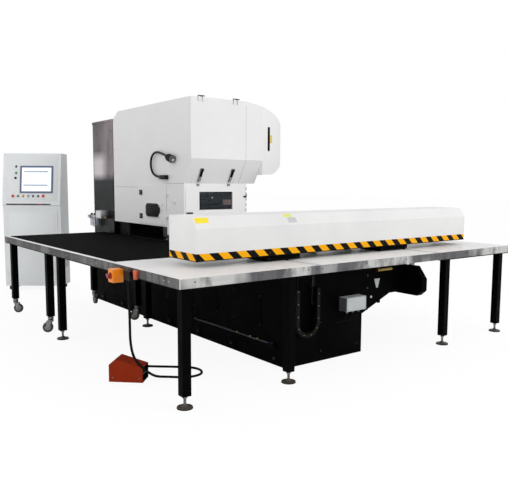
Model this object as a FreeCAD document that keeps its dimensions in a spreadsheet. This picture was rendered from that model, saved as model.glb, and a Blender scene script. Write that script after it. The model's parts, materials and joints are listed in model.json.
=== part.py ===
import FreeCAD, Part
import Sketcher
import math
import os
import re

# CNC turret punch press, in millimetres.
# The origin lies on the floor under the turret axis: +X right along the
# cross beam, +Y from the front table edge to the rear cabinet, +Z up.

SIZES = {
    # work table
    "table_left": -1720, "table_right": 2300, "table_front": -2600, "table_back": 1560,
    "table_z": 930, "top_thick": 30, "edge_high": 70, "edge_thick": 4,
    "slot_left": -442, "slot_right": 1076, "slot_wide": 60,
    "split_y": 50, "split_gap": 4, "strip_back": -1480, "brush_rim": 45, "brush_deep": 15,
    "brush_stand": 3, "turret_hole_gap": 8,
    "leg_wide": 70, "leg_inset": 78, "rail_high": 50, "rail_wide": 60,
    "leg_left_x": -690, "leg_right_x": 1300, "leg_mid_y": -120, "leg_rear_y": 230,
    "leg_module_x": -640, "foot_high": 90, "foot_radius": 57, "foot_thick": 14, "stud_radius": 10,
    # casters under the rear left table
    "caster_high": 175, "wheel_radius": 55, "wheel_wide": 28, "caster_trail": 32,
    "fork_thick": 6, "axle_radius": 6, "swivel_radius": 30, "stem_radius": 10, "stem_high": 8,
    "cheek_half": 12,
    "heading_across": 52.9, "heading_back": -127.1,
    # base frame and the rails of the long travel
    "base_left": -480, "base_right": 453, "base_front": -2230, "base_back": 1930,
    "base_top": 640, "base_wall": 76, "wall_top": 780, "wall_back": 430,
    "rail_foot_wide": 40, "rail_foot_high": 32, "rail_start": -2215, "rail_end": -520,
    "front_plate": 30, "turret_plate_y": -520, "ledge_z": 155, "ledge_high": 30,
    "ledge_start": -2120, "ledge_end": -760,
    # right rail support
    "arm_root_z": 360, "arm_knee_x": 840, "arm_knee_z": 520, "arm_thick": 60,
    "beam_nose_y": -2460, "beam_low_z": 494, "beam_end_y": -480,
    # C-frame
    "frame_gap_left": 50, "frame_gap_right": 30, "arm_front": -230, "arm_low": 1240,
    "head_room": 185, "mount_front": 100, "mount_back": 1000, "mount_size": 80,
    "throat_back": 950, "throat_top": 1100, "throat_low": 860, "frame_back": 1240,
    # turrets and tooling
    "turret_radius": 370, "pitch_radius": 310, "stations": 16, "empty_station": 8,
    "upper_low": 960, "upper_high": 1170, "lower_low": 720, "lower_high": 925,
    "hub_radius": 190, "shaft_radius": 60, "shaft_high": 1400, "shaft_low": 580,
    "head_radius": 27, "head_high": 1215, "die_radius": 36, "die_high": 931,
    "shank_radius": 22, "punch_low": 964, "punch_head": 30, "punch_head_thick": 10,
    "ram_radius": 45, "ram_high": 1560, "ram_stroke": 34,
    "ram_block_half": 150, "ram_block_front": -400, "ram_block_high": 1760,
    # running and standing clearances
    "fit_gap": 0.05, "near_gap": 0.3,
    # head covers
    "head_left": -420, "head_right": 510, "head_front": -620, "head_back": 1280,
    "head_top": 2465, "head_low": 1087, "slope_high": 1830, "slope_low": 1571,
    "guard_front": -470, "guard_back": -100, "guard_right": 400, "guard_low": 1000,
    "sheet": 6, "hood_right": 290, "head_cut_y": 1130, "head_cut": 85,
    "round_start": 290, "round_drop": 37,
    "side_right": 774, "side_low": 1670, "side_shoulder": 115, "side_fall": 189,
    "side_back": 620, "side_slot_x": 607, "side_slot_long": 268, "side_slot_drop": 257,
    # hinges of the doors and the hood
    "latch_left": -250, "latch_right": 150, "latch_half": 14, "latch_pin": 4,
    "pin_radius": 7, "hood_hinge_left": -293, "hood_hinge_right": 152,
    # cap on the guard's side
    "cap_y": -264, "cap_z": 1366,
    # tool door, side door
    "tool_door_left": -405, "tool_door_right": 382, "tool_door_low": 1035, "tool_door_high": 1535,
    "window_left": -227, "window_right": 193, "window_low": 1294, "window_high": 1474,
    "door_thick": 8, "door_lap": 22,
    "side_door_front": -90, "side_door_back": 600, "side_door_low": 1105, "side_door_high": 1550,
    "lamp_neck_radius": 13, "lamp_shade_radius": 42, "lamp_shade_long": 130,
    "vent_y": 208, "vent_z": 1266, "vent_long": 320, "vent_high": 154,
    # rear cabinet
    "cabinet_left": -425, "cabinet_right": 450, "cabinet_front": 1290, "cabinet_top": 2385,
    "rear_deck": 900, "air_long": 570, "bowl_top": 245,
    # cross beam
    "beam_left": -1335, "beam_right": 2005, "beam_front": -2196, "beam_back": -2010,
    "beam_low": 1000, "beam_high": 1240, "guide_low_z": 1040, "guide_high_z": 1190,
    "guide_high": 30, "guide_deep": 25, "guide_left": -1280, "guide_right": 1950,
    "screw_y": -1985, "screw_z": 1115, "screw_radius": 16, "bearing_left": -1320,
    "bearing_right": 1990, "bearing_thick": 30,
    "saddle_front": -2205, "saddle_back": -1940, "saddle_left_a": -675, "saddle_left_b": -304,
    "saddle_right_a": 713, "saddle_right_b": 1113, "saddle_low": 935,
    "web_front": -2190, "web_back": -1945, "foot_low": 790, "foot_top": 880, "foot_wide": 88,
    # long travel screw beside the left rail
    "drive_x": -352, "drive_z": 735, "drive_radius": 18, "drive_start": -2195,
    "drive_end": -605, "nut_half": 40, "nut_y": -2020,
    # beam cover
    "cover_left": -1359, "cover_right": 2029, "cover_front": -2226, "cover_back": -1819,
    "cover_low": 980, "shoulder_drop": 11, "cover_rise": 81, "cover_ridge": -2163,
    "cover_mouth": 1130,
    # carriage and clamps
    "carriage_x": 335, "carriage_half": 360, "plate_back": -1930, "plate_thick": 28,
    "plate_low": 1010, "plate_high": 1225, "block_half": 40, "block_x": 280, "slide_gap": 1,
    "clamp_x": 230, "clamp_half": 50, "clamp_low": 936, "clamp_high": 1060,
    "clamp_back": -1775, "tip_y": -1725, "tongue_thick": 8,
    "jaw_half": 30, "jaw_low": 956, "jaw_high": 990, "jaw_pin_y": -1835, "jaw_pin_z": 973,
    "jaw_pin_radius": 8, "jaw_side_gap": 0.5,
    # stop box, junction box, energy chain
    "stop_front": -1735, "stop_back": -1645, "stop_low": 800, "stop_high": 905, "stop_deep": 90,
    "stop_radius": 20, "gland_off": 65, "gland_long": 100, "plug_off": 202, "plug_long": 65,
    "junction_left": 150, "junction_right": 400, "junction_low": 430, "junction_high": 555,
    "junction_deep": 100,
    "chain_left": -420, "chain_right": -150, "chain_thick": 36, "chain_top": 680,
    "chain_wide": 62, "chain_off": 10, "chain_low": 256,
    # foot pedal, placed by its rear left corner
    "pedal_x": -1830, "pedal_y": -1664, "pedal_turn": -43, "pedal_long": 275, "pedal_wide": 165,
    "pedal_plate": 12, "pedal_wall": 5, "pedal_back": 138, "pedal_high": 184, "pedal_nose": 120,
    "pedal_apex": 55, "treadle_x": 52, "treadle_z": 60, "treadle_pin": 6,
    # cable of the foot pedal
    "cable_radius": 10,
    # console, placed by its front left corner
    "console_x": -1298, "console_y": 3201, "console_turn": -37, "console_wide": 840,
    "console_deep": 390, "console_high": 2000, "console_low": 60, "shelf_z": 1250,
    "panel_low": 1275, "panel_lean": 120, "shelf_out": 20,
    "screen_left": 250, "screen_right": 730, "screen_low": 150, "screen_high": 550,
    "button_row": 106, "button_first": 153, "button_step": 73.2, "button_radius": 14,
}

doc = FreeCAD.newDocument("turret_punch_press")
sheet = doc.addObject("Spreadsheet::Sheet", "Sizes")
for row, (alias, value) in enumerate(SIZES.items(), 1):
    sheet.set(f"A{row}", alias)
    sheet.set(f"B{row}", str(value))
    sheet.setAlias(f"B{row}", alias)
doc.recompute()

AXES = {
    "X": FreeCAD.Rotation(FreeCAD.Vector(0, 1, 0), 90),
    "Y": FreeCAD.Rotation(FreeCAD.Vector(1, 0, 0), -90),
    "Z": FreeCAD.Rotation(),
}
NODES = {}


def bound(text):
    """Write a size expression with its aliases pointing at the sheet."""
    return re.sub(r"[a-z_]+", lambda m: f"Sizes.{m[0]}" if m[0] in SIZES else m[0], str(text))


def move(thing, x, y, z):
    for axis, text in zip("xyz", (x, y, z)):
        thing.setExpression(f"Placement.Base.{axis}", bound(text))
    return thing


def box(name, x, y, z, wide, deep, high):
    """A block from its low corner."""
    block = doc.addObject("Part::Box", name)
    for side, text in zip(("Length", "Width", "Height"), (wide, deep, high)):
        block.setExpression(side, bound(text))
    return move(block, x, y, z)


def span(name, x0, x1, y0, y1, z0, z1):
    """A block between two limits on each axis."""
    return box(name, x0, y0, z0, f"({x1})-({x0})", f"({y1})-({y0})", f"({z1})-({z0})")


def rod(name, axis, x, y, z, radius, length):
    """A cylinder that starts at a point and runs along an axis."""
    bar = doc.addObject("Part::Cylinder", name)
    bar.Placement.Rotation = AXES[axis]
    bar.setExpression("Radius", bound(radius))
    bar.setExpression("Height", bound(length))
    return move(bar, x, y, z)


def origin_plane(body, role):
    return next(f for f in body.Origin.OriginFeatures if f.Role == role)


def outline(body, name, role, points, offset):
    """A closed sketch through points that the sheet drives."""
    sketch = body.newObject("Sketcher::SketchObject", name)
    sketch.AttachmentSupport = [(origin_plane(body, role), "")]
    sketch.MapMode = "FlatFace"
    sketch.setExpression("AttachmentOffset.Base.z", bound(offset))
    count = len(points)
    start = []
    for text_u, text_v in points:
        u = sheet_value(text_u)
        v = sheet_value(text_v)
        start.append(FreeCAD.Vector(u, v, 0))
    for i in range(count):
        sketch.addGeometry(Part.LineSegment(start[i], start[(i + 1) % count]))
    for i in range(count):
        sketch.addConstraint(Sketcher.Constraint("Coincident", i, 2, (i + 1) % count, 1))
    for i, (text_u, text_v) in enumerate(points):
        for kind, text, value in (("DistanceX", text_u, start[i].x), ("DistanceY", text_v, start[i].y)):
            at = sketch.addConstraint(Sketcher.Constraint(kind, -1, 1, i, 1, value))
            sketch.setExpression(f"Constraints[{at}]", bound(text))
    return sketch


def sheet_value(text):
    """The present value of a size expression, for a sketch's first drawing."""
    probe = sheet.evalExpression(bound(text))
    return float(getattr(probe, "Value", probe))


def stub(name, axis, x, y, z, radius, length, sides=12):
    """A many-sided bar, for the small round parts that repeat."""
    bar = doc.addObject("Part::Prism", name)
    bar.Placement.Rotation = AXES[axis]
    bar.Polygon = sides
    bar.setExpression("Circumradius", bound(radius))
    bar.setExpression("Height", bound(length))
    return move(bar, x, y, z)


def prism(name, axis, points, low, high):
    """A straight extrusion of an outline between two places along an axis."""
    role, flip = {"X": ("YZ_Plane", False), "Y": ("XZ_Plane", True), "Z": ("XY_Plane", False)}[axis]
    body = doc.addObject("PartDesign::Body", name)
    sketch = outline(body, f"{name}_outline", role, points, f"-({low})" if flip else low)
    pad = body.newObject("PartDesign::Pad", f"{name}_pad")
    pad.Profile = sketch
    pad.Reversed = flip
    pad.setExpression("Length", bound(f"({high})-({low})"))
    return body


def join(name, pieces):
    made = doc.addObject("Part::MultiFuse", name)
    made.Shapes = pieces
    made.Refine = True
    return made


def group(name, pieces):
    made = doc.addObject("Part::Compound", name)
    made.Links = pieces
    return made


def cut(name, base, tools):
    made = doc.addObject("Part::Cut", name)
    made.Base = base
    made.Tool = tools[0] if len(tools) == 1 else group(f"{name}_tools", tools)
    return made


def node(label, thing):
    thing.Label = label
    NODES[label] = thing
    return thing


def turned(thing, x, y, angle):
    """Stand a finished piece at a floor point, turned about the vertical."""
    place = (f"create(<<placement>>; create(<<vector>>; {bound(x)}; {bound(y)}; 0); "
             f"create(<<rotation>>; create(<<vector>>; 0; 0; 1); {bound(angle)}))")
    thing.setExpression("Placement", place)
    return thing


# ---------------------------------------------------------------- base frame

def make_base():
    body = span("base_block", "base_left", "base_right", "base_front", "base_back", 0, "base_top")
    left = span("base_left_wall", "base_left", "base_left+base_wall", "base_front", "wall_back",
                "base_top", "wall_top")
    right = span("base_right_wall", "base_right-base_wall", "base_right", "base_front", "wall_back",
                 "base_top", "wall_top")
    rail = span("base_rail", "slot_left-rail_foot_wide/2", "slot_left+rail_foot_wide/2",
                "rail_start", "rail_end", "wall_top", "wall_top+rail_foot_high")
    front = span("base_front_plate", "slot_left+foot_wide/2+8", "base_right", "base_front",
                 "base_front+front_plate", "base_top", "table_z-top_thick")
    cross = span("base_cross_plate", "slot_left+foot_wide/2+8", "base_right", "turret_plate_y",
                 "turret_plate_y+front_plate", "base_top", "table_z-top_thick")
    deck = span("base_deck", "base_left", "base_right", "frame_back", "base_back", "base_top",
                "rear_deck")
    ledge = span("base_ledge", "base_left-20", "base_left", "ledge_start", "ledge_end", "ledge_z",
                 "ledge_z+ledge_high")
    boss = stub("base_boss", "Z", 0, 0, "base_top", "shaft_radius*2.5",
                "lower_low-near_gap-base_top", 24)
    near = span("drive_near_block", "drive_x-45", "drive_x+45", "base_front+front_plate",
                "base_front+front_plate+40", "base_top", "drive_z+45")
    far = span("drive_far_block", "drive_x-45", "drive_x+45", "drive_end-40", "drive_end",
               "base_top", "drive_z+45")
    motor = span("drive_motor", "drive_x-40", "drive_x+40", "drive_end", "turret_plate_y",
                 "drive_z-40", "drive_z+40")
    solid = join("base_solid", [body, left, right, rail, front, cross, deck, ledge, boss, near, far,
                                motor])
    shaft = rod("base_shaft_bore", "Z", 0, 0, "shaft_low-near_gap", "shaft_radius+fit_gap", 400)
    drive = rod("base_drive_bore", "Y", "drive_x", "drive_start-near_gap", "drive_z",
                "drive_radius+fit_gap", "drive_end-drive_start-10+2*near_gap")
    return node("base_frame", cut("base_cut", solid, [shaft, drive]))


def make_rail_support():
    left = "slot_right-base_wall/2"
    beam = prism("rail_beam", "X", [
        ("beam_nose_y+60", "beam_low_z"), ("beam_nose_y", "beam_low_z+52"),
        ("beam_nose_y", "wall_top-118"), ("beam_nose_y+90", "wall_top"),
        ("beam_end_y", "wall_top"), ("beam_end_y", "beam_low_z")], left, "slot_right+base_wall/2")
    rail = span("right_rail", "slot_right-rail_foot_wide/2", "slot_right+rail_foot_wide/2",
                "rail_start", "rail_end", "wall_top", "wall_top+rail_foot_high")
    pieces = [beam, rail]
    arm = [("base_right", "arm_root_z"), ("arm_knee_x", "arm_knee_z"), (left, "arm_knee_z"),
           (left, "wall_top"), ("base_right", "wall_top")]
    for i, at in enumerate(("base_front", "(base_front+beam_end_y)/2", "beam_end_y-arm_thick")):
        pieces.append(prism(f"support_arm_{i}", "Y", arm, at, f"{at}+arm_thick"))
    for i, at in enumerate(("base_front", "beam_end_y-arm_thick")):
        pieces.append(span(f"support_post_{i}", "base_right+10", "slot_right-foot_wide/2-20", at,
                           f"{at}+front_plate", "wall_top", "table_z-top_thick"))
    return node("right_rail_support", join("support_solid", pieces))


FRAME_LEFT = "head_left+frame_gap_left"
FRAME_RIGHT = "guard_right-frame_gap_right"


def make_c_frame():
    plate = prism("c_plate", "X", [
        ("wall_back", "base_top"), ("frame_back", "base_top"), ("frame_back", "head_top-head_room"),
        ("arm_front+130", "head_top-head_room"), ("arm_front", "head_top-head_room-130"),
        ("arm_front", "arm_low"), ("wall_back", "arm_low"), ("wall_back", "throat_top"),
        ("throat_back", "throat_top"), ("throat_back", "throat_low"), ("wall_back", "throat_low")],
        FRAME_LEFT, FRAME_RIGHT)
    bore = rod("c_bore", "Z", 0, 0, "arm_low-1", "shaft_radius+fit_gap",
               "shaft_high-arm_low+1+near_gap")
    return node("c_frame", cut("c_cut", plate, [bore]))


# ------------------------------------------------------------------- tooling

def ring_of(name, first, make):
    """Equal pieces at the stations, from the given station on, where one stands empty."""
    pieces = []
    count = int(sheet_value("stations"))
    for i in range(first, count):
        if i == int(sheet_value("empty_station")):
            continue
        angle = f"(-90+360*{i}/{count})"
        x = f"pitch_radius*cos({angle}*1deg)"
        y = f"pitch_radius*sin({angle}*1deg)"
        pieces.append(make(f"{name}_{i}", x, y))
    return pieces


def make_turrets():
    """Each turret is a disc with a shaft, and its tools stand on the disc as pieces of their own."""
    disc = rod("upper_disc", "Z", 0, 0, "upper_low", "turret_radius", "upper_high-upper_low")
    bore = rod("upper_station_bore", "Z", 0, "-pitch_radius", "upper_low-1",
               "shank_radius+fit_gap", "upper_high-upper_low+2")
    empty = stub("upper_empty_bore", "Z", 0, "pitch_radius", "upper_low-1", "shank_radius",
                 "upper_high-upper_low+2")
    hub = stub("upper_hub", "Z", 0, 0, "upper_high", "hub_radius",
               "arm_low-near_gap-upper_high", 24)
    shaft = rod("upper_shaft", "Z", 0, 0, "arm_low-near_gap", "shaft_radius",
                "shaft_high-arm_low+near_gap")
    heads = ring_of("punch_head", 1, lambda name, x, y: stub(
        name, "Z", x, y, "upper_high", "head_radius", "head_high-upper_high", 8))
    node("upper_turret", group("upper_group", [cut("upper_bored", disc, [bore, empty]), hub, shaft] + heads))

    disc = rod("lower_disc", "Z", 0, 0, "lower_low", "turret_radius", "lower_high-lower_low")
    shaft = rod("lower_shaft", "Z", 0, 0, "shaft_low", "shaft_radius", "lower_low-shaft_low")
    dies = ring_of("die", 1, lambda name, x, y: stub(
        name, "Z", x, y, "lower_high", "die_radius", "die_high-lower_high", 8))
    die = rod("work_die", "Z", 0, "-pitch_radius", "lower_high", "die_radius", "die_high-lower_high")
    hole = rod("work_hole", "Z", 0, "-pitch_radius", "lower_low-1", "shank_radius+near_gap",
               "die_high-lower_low+2")
    empty = stub("lower_empty_bore", "Z", 0, "pitch_radius", "lower_low-1", "shank_radius",
                 "lower_high-lower_low+2")
    bored = [cut("lower_bored", disc, [hole, empty]), cut("work_die_bored", die, [hole])]
    node("lower_turret", group("lower_group", bored + [shaft] + dies))

    shank = rod("punch_shank", "Z", 0, "-pitch_radius", "punch_low", "shank_radius",
                "head_high-punch_low")
    head = stub("punch_cap", "Z", 0, "-pitch_radius", "head_high-punch_head_thick", "punch_head",
                "punch_head_thick")
    node("working_punch", join("working_punch_solid", [shank, head]))


def make_ram():
    block = span("ram_block", "-ram_block_half", "ram_block_half", "ram_block_front", "arm_front",
                 "arm_low", "ram_block_high")
    bore = rod("ram_bore", "Z", 0, "-pitch_radius", "arm_low-1", "ram_radius+fit_gap",
               "ram_high-arm_low+2")
    node("ram_housing", cut("ram_cut", block, [bore]))
    bar = rod("ram_bar", "Z", 0, "-pitch_radius", "head_high+near_gap", "ram_radius",
              "ram_high-head_high")
    node("ram", group("ram_group", [bar]))


# -------------------------------------------------------------- head covers

def slope_point(along, out):
    """A point on the hood's slope: a share of its length down, a height off its face."""
    y = f"head_front+(guard_front-head_front)*{along}-{out}*0.866"
    z = f"slope_high-(slope_high-slope_low)*{along}-{out}*0.5"
    return (y, z)


LATCH_PIVOT = slope_point(0.425, 13)


def top_fall(name, depth):
    """What the fall of the head's top towards the right housing leaves out."""
    return prism(name, "Y", [
        ("round_start", f"head_top-{depth}"), ("head_right+1", f"head_top-round_drop-{depth}"),
        ("head_right+1", "head_top+1"), ("round_start", "head_top+1")],
        "head_front-1", "head_back+1")


def make_head_cover():
    outer = prism("head_outer", "X", [
        ("guard_front", "slope_low"), ("head_front", "slope_high"), ("head_front", "head_top"),
        ("head_cut_y", "head_top"), ("head_back", "head_top-head_cut"), ("head_back", "head_low"),
        ("guard_back", "head_low"), ("guard_back", "slope_low")], "head_left", "head_right")
    cavity = prism("head_cavity", "X", [
        ("guard_front+sheet", "slope_low-1"), ("guard_front+sheet", "slope_low+5"),
        ("head_front+sheet", "slope_high+3"), ("head_front+sheet", "head_top-sheet"),
        ("head_cut_y-3", "head_top-sheet"), ("head_back-sheet", "head_top-head_cut-3"),
        ("head_back-sheet", "head_low-1"), ("guard_back+sheet", "head_low-1"),
        ("guard_back+sheet", "slope_low-1")], "head_left+sheet", "head_right-sheet")
    inner = cut("head_inner", cavity, [top_fall("inner_fall", "sheet")])
    hood_bay = prism("hood_bay", "X", [
        ("guard_front-10", "slope_low-20"), ("head_front-20", "slope_high-20"),
        ("head_front-20", "head_top+1"), ("head_front+sheet+near_gap", "head_top+1"),
        ("head_front+sheet+near_gap", "slope_high+3"), ("guard_front+sheet+near_gap", "slope_low+5"),
        ("guard_front+sheet+near_gap", "slope_low-20")],
        "head_left-1", "hood_right+near_gap")
    bay = span("side_bay", "head_left-1", "head_left+sheet+1", "side_door_front+door_lap",
               "side_door_back-door_lap", "side_door_low+door_lap", "side_door_high-door_lap")
    neck = span("neck_bay", "head_left+sheet", "guard_right-sheet", "guard_back-1",
                "guard_back+sheet+1", "head_low-1", "slope_low+1")
    shell = cut("head_shell", outer, [inner, hood_bay, bay, neck, top_fall("outer_fall", 0)])
    pieces = [shell]
    for i, at in enumerate(("hood_hinge_left", "hood_hinge_right")):
        pieces.append(stub(f"hood_knuckle_{i}", "X", f"{at}-14", "head_front",
                           "head_top+pin_radius+3", "pin_radius", 28))
        pieces.append(span(f"hood_leaf_{i}", f"{at}-14", f"{at}+14", "head_front",
                           "head_front+50", "head_top", "head_top+pin_radius+3"))
    mounts = [(y, z) for y in ("mount_front", "mount_back")
              for z in ("arm_low+260", "head_top-head_room-180")]
    for i, (y, z) in enumerate(mounts):
        pieces.append(span(f"mount_left_{i}", "head_left+sheet-1", FRAME_LEFT, y, f"{y}+mount_size",
                           z, f"{z}+mount_size"))
        pieces.append(span(f"mount_right_{i}", FRAME_RIGHT, "head_right-sheet+1", y,
                           f"{y}+mount_size", z, f"{z}+mount_size"))
    node("head_cover", join("head_solid", pieces))


def make_hood():
    skin = prism("hood_skin", "X", [
        ("guard_front", "slope_low+near_gap"), ("head_front", "slope_high"),
        ("head_front", "head_top"),
        ("head_front+sheet", "head_top"), ("head_front+sheet", "slope_high+2"),
        ("guard_front+sheet", "slope_low+4")], "head_left", "hood_right")
    pieces = [skin]
    bores = []
    for i, at in enumerate(("hood_hinge_left", "hood_hinge_right")):
        for j, (start, round_part) in enumerate((("-40", rod), ("+14.3", stub))):
            pieces.append(round_part(f"hood_arm_{i}_{j}", "X", f"{at}{start}", "head_front",
                                     "head_top+pin_radius+3", "pin_radius", 25.7))
            pieces.append(span(f"hood_strap_{i}_{j}", f"{at}{start}", f"{at}{start}+25.7",
                               "head_front-6", "head_front", "head_top-45", "head_top+pin_radius+3"))
    for i, at in enumerate(("latch_left", "latch_right")):
        pieces.append(prism(f"latch_seat_{i}", "X", [
            slope_point(0.38, -2), slope_point(0.38, 4), slope_point(0.52, 4),
            slope_point(0.52, -2)], f"{at}-latch_half-4", f"{at}+latch_half+4"))
        for j, start in enumerate((f"{at}-latch_half-4", f"{at}+latch_half+near_gap")):
            pieces.append(prism(f"latch_ear_{i}_{j}", "X", [
                slope_point(0.39, 0), slope_point(0.39, 21), slope_point(0.46, 21),
                slope_point(0.46, 0)], start, f"{start}+4-near_gap"))
        bores.append(stub(f"latch_bore_{i}", "X", f"{at}-latch_half-5", *LATCH_PIVOT,
                          "latch_pin+2*near_gap", "2*latch_half+10"))
    node("front_hood", cut("hood_bored", join("hood_solid", pieces), bores))


def make_latch(label, at):
    """A draw latch lever that lies along the slope between its ears."""
    lever = prism(f"{label}_lever", "X", [
        slope_point(0.405, 8), slope_point(0.405, 18), slope_point(0.84, 18),
        slope_point(0.92, 12), slope_point(0.92, 3), slope_point(0.86, 3),
        slope_point(0.80, 9)], f"{at}-latch_half", f"{at}+latch_half")
    pin = rod(f"{label}_pin", "X", f"{at}-latch_half-4", *LATCH_PIVOT, "latch_pin",
              "2*latch_half+8")
    node(label, join(f"{label}_solid", [lever, pin]))


def make_guard():
    outer = span("guard_outer", "head_left", "guard_right", "guard_front", "guard_back",
                 "guard_low", "slope_low")
    inner = span("guard_inner", "head_left+sheet", "guard_right-sheet", "guard_front+sheet",
                 "guard_back+1", "guard_low-1", "slope_low+1")
    bay = span("guard_bay", "tool_door_left+door_lap", "tool_door_right-door_lap",
               "guard_front-1", "guard_front+sheet+1", "tool_door_low+door_lap",
               "tool_door_high-door_lap")
    cap = stub("guard_cap", "X", "head_left-14", "cap_y", "cap_z", 20, 14, 16)
    shell = cut("guard_shell", outer, [inner, bay])
    pieces = [shell, cap]
    for i, at in enumerate(("latch_left", "latch_right")):
        pieces.append(span(f"keeper_{i}", f"{at}-latch_half", f"{at}+latch_half",
                           "guard_front-14", "guard_front", "slope_low-24", "slope_low-4"))
    for i, at in enumerate(("tool_door_low+60", "tool_door_high-120")):
        pieces.append(stub(f"tool_knuckle_{i}", "Z", "tool_door_right+8",
                           "guard_front-pin_radius-3", f"{at}+20.3", "pin_radius", 20))
        pieces.append(span(f"tool_leaf_{i}", "tool_door_right+8", "guard_right",
                           "guard_front-pin_radius-3", "guard_front", f"{at}+20.3", f"{at}+40.3"))
    for i, at in enumerate(("side_door_low+70", "side_door_high-130")):
        pieces.append(stub(f"side_knuckle_{i}", "Z", "head_left-pin_radius-3",
                           "side_door_front-11", f"{at}+20.3", "pin_radius", 20))
        pieces.append(span(f"side_leaf_{i}", "head_left-pin_radius-3", "head_left",
                           "side_door_front-40", "side_door_front-11", f"{at}+20.3", f"{at}+40.3"))
    node("turret_guard", join("guard_solid", pieces))


def make_tool_door():
    plate = span("tool_plate", "tool_door_left", "tool_door_right",
                 "guard_front-near_gap-door_thick", "guard_front-near_gap", "tool_door_low",
                 "tool_door_high")
    window = span("tool_window", "window_left", "window_right", "guard_front-30", "guard_front",
                  "window_low", "window_high")
    face = "guard_front-near_gap-door_thick"
    grip = span("tool_grip", "tool_door_left+8", "tool_door_left+78", f"{face}-22", f"{face}-12",
                "tool_door_low+209", "tool_door_low+227")
    posts = [span(f"tool_post_{i}", f"tool_door_left+{8 + 58 * i}", f"tool_door_left+{20 + 58 * i}",
                  f"{face}-12", face, "tool_door_low+211", "tool_door_low+225") for i in range(2)]
    pieces = [cut("tool_cut", plate, [window]), grip] + posts
    for i, at in enumerate(("tool_door_low+60", "tool_door_high-120")):
        pieces.append(rod(f"tool_arm_{i}", "Z", "tool_door_right+8", "guard_front-pin_radius-3", at,
                          "pin_radius", 20))
        pieces.append(span(f"tool_strap_{i}", "tool_door_right-30", "tool_door_right+8",
                           "guard_front-pin_radius-6", face, at, f"{at}+20"))
    node("tool_door", join("tool_door_solid", pieces))


def make_side_door():
    out = "head_left-near_gap-door_thick"
    plate = span("side_plate", out, "head_left-near_gap", "side_door_front", "side_door_back",
                 "side_door_low", "side_door_high")
    vent = span("side_vent", f"{out}-12", out, "vent_y-vent_long/2", "vent_y+vent_long/2",
                "vent_z-vent_high/2", "vent_z+vent_high/2")
    locks = [span(f"side_lock_{i}", f"{out}-14", out, "side_door_back-120", "side_door_back-65", at,
                  f"{at}+58") for i, at in enumerate(("side_door_low+54", "side_door_high-113"))]
    pieces = [plate, vent] + locks
    for i, at in enumerate(("side_door_low+70", "side_door_high-130")):
        pieces.append(rod(f"side_arm_{i}", "Z", "head_left-pin_radius-3", "side_door_front-11", at,
                          "pin_radius", 20))
        pieces.append(span(f"side_strap_{i}", "head_left-pin_radius-6", out, "side_door_front-11",
                           "side_door_front+30", at, f"{at}+20"))
    node("side_door", join("side_door_solid", pieces))


SIDE_CURVE = ((0, 0), (0.37, 0.17), (0.70, 0.43), (0.92, 0.71), (1, 1))


def make_side_housing():
    """The housing's rounded corner follows shares of its width and of its fall."""
    top = "head_top-round_drop"
    corner = [(f"head_right+(side_right-head_right)*{across}", f"{top}-side_fall*{down}")
              for across, down in SIDE_CURVE]
    foot = [("side_right", "side_low+side_shoulder"), ("side_right-36", "side_low+side_shoulder/2"),
            ("side_right-110", "side_low+5"), ("head_right", "side_low")]
    body = prism("side_body", "Y", corner + foot, "head_front", "side_back")
    slot = span("side_slot", "side_slot_x-10", "side_slot_x+10", "head_front-1", "head_front+25",
                "head_top-side_slot_drop-side_slot_long", "head_top-side_slot_drop")
    node("right_housing", cut("side_cut", body, [slot]))


LAMP_ROUTE = [(-445, -12, 1642), (-446, 140, 1646), (-449, 228, 1755), (-453, 185, 1895),
              (-458, 20, 1932), (-468, -210, 1858)]


def make_lamp():
    base = span("lamp_base", "head_left-50", "head_left", -140, -10, 1615, 1662)
    neck = tube("lamp_neck", LAMP_ROUTE, sheet_value("lamp_neck_radius"))
    shade = stub("lamp_shade", "Y", -470, -312, 1828, "lamp_shade_radius", "lamp_shade_long", 16)
    shade.Placement.Rotation = FreeCAD.Rotation(FreeCAD.Vector(1, 0, 0), -74)
    node("work_lamp", join("lamp_solid", [base, neck, shade]))


def make_rear_cabinet():
    body = span("cabinet_body", "cabinet_left", "cabinet_right", "cabinet_front", "base_back",
                "rear_deck", "cabinet_top")
    lip = span("cabinet_lip", "cabinet_left-6", "cabinet_right+6", "cabinet_front", "base_back+6",
               "cabinet_top-30", "cabinet_top")
    node("rear_cabinet", join("cabinet_solid", [body, lip]))
    door = span("cabinet_panel", "cabinet_left+20", "cabinet_right-20", "base_back+near_gap",
                "base_back+near_gap+20", "rear_deck+40", "cabinet_top-60")
    grip = span("cabinet_grip", "cabinet_left+50", "cabinet_left+70", "base_back+near_gap+20",
                "base_back+near_gap+45", "rear_deck+660", "rear_deck+820")
    barrels = [rod(f"cabinet_barrel_{i}", "Z", "cabinet_right-20+pin_radius/2", "base_back+20", at,
                   "pin_radius", 60) for i, at in enumerate(("rear_deck+200", "cabinet_top-260"))]
    node("cabinet_door", join("cabinet_door_solid", [door, grip] + barrels))


def make_air_unit():
    """A valve box, a pipe and three hanging bowls on the left of the rear cabinet."""
    x = "cabinet_left-55"
    pieces = [span("air_box", "cabinet_left-110", "cabinet_left", "cabinet_front+160",
                   "cabinet_front+340", "rear_deck+210", "rear_deck+315"),
              stub("air_pipe", "Y", x, "cabinet_front+140", "rear_deck+220", 12, "air_long", 8),
              span("air_plate", x, "cabinet_left", "cabinet_front+500", "cabinet_front+580",
                   "rear_deck+200", "rear_deck+240")]
    for i, (along, low, radius) in enumerate(((400, 110, 24), (500, 85, 32), (600, 100, 28))):
        pieces.append(stub(f"air_bowl_{i}", "Z", x, f"cabinet_front+{along}", f"rear_deck+{low}",
                           radius, f"bowl_top-{low}"))
    node("air_unit", join("air_solid", pieces))


# ---------------------------------------------------------------- work table

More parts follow.
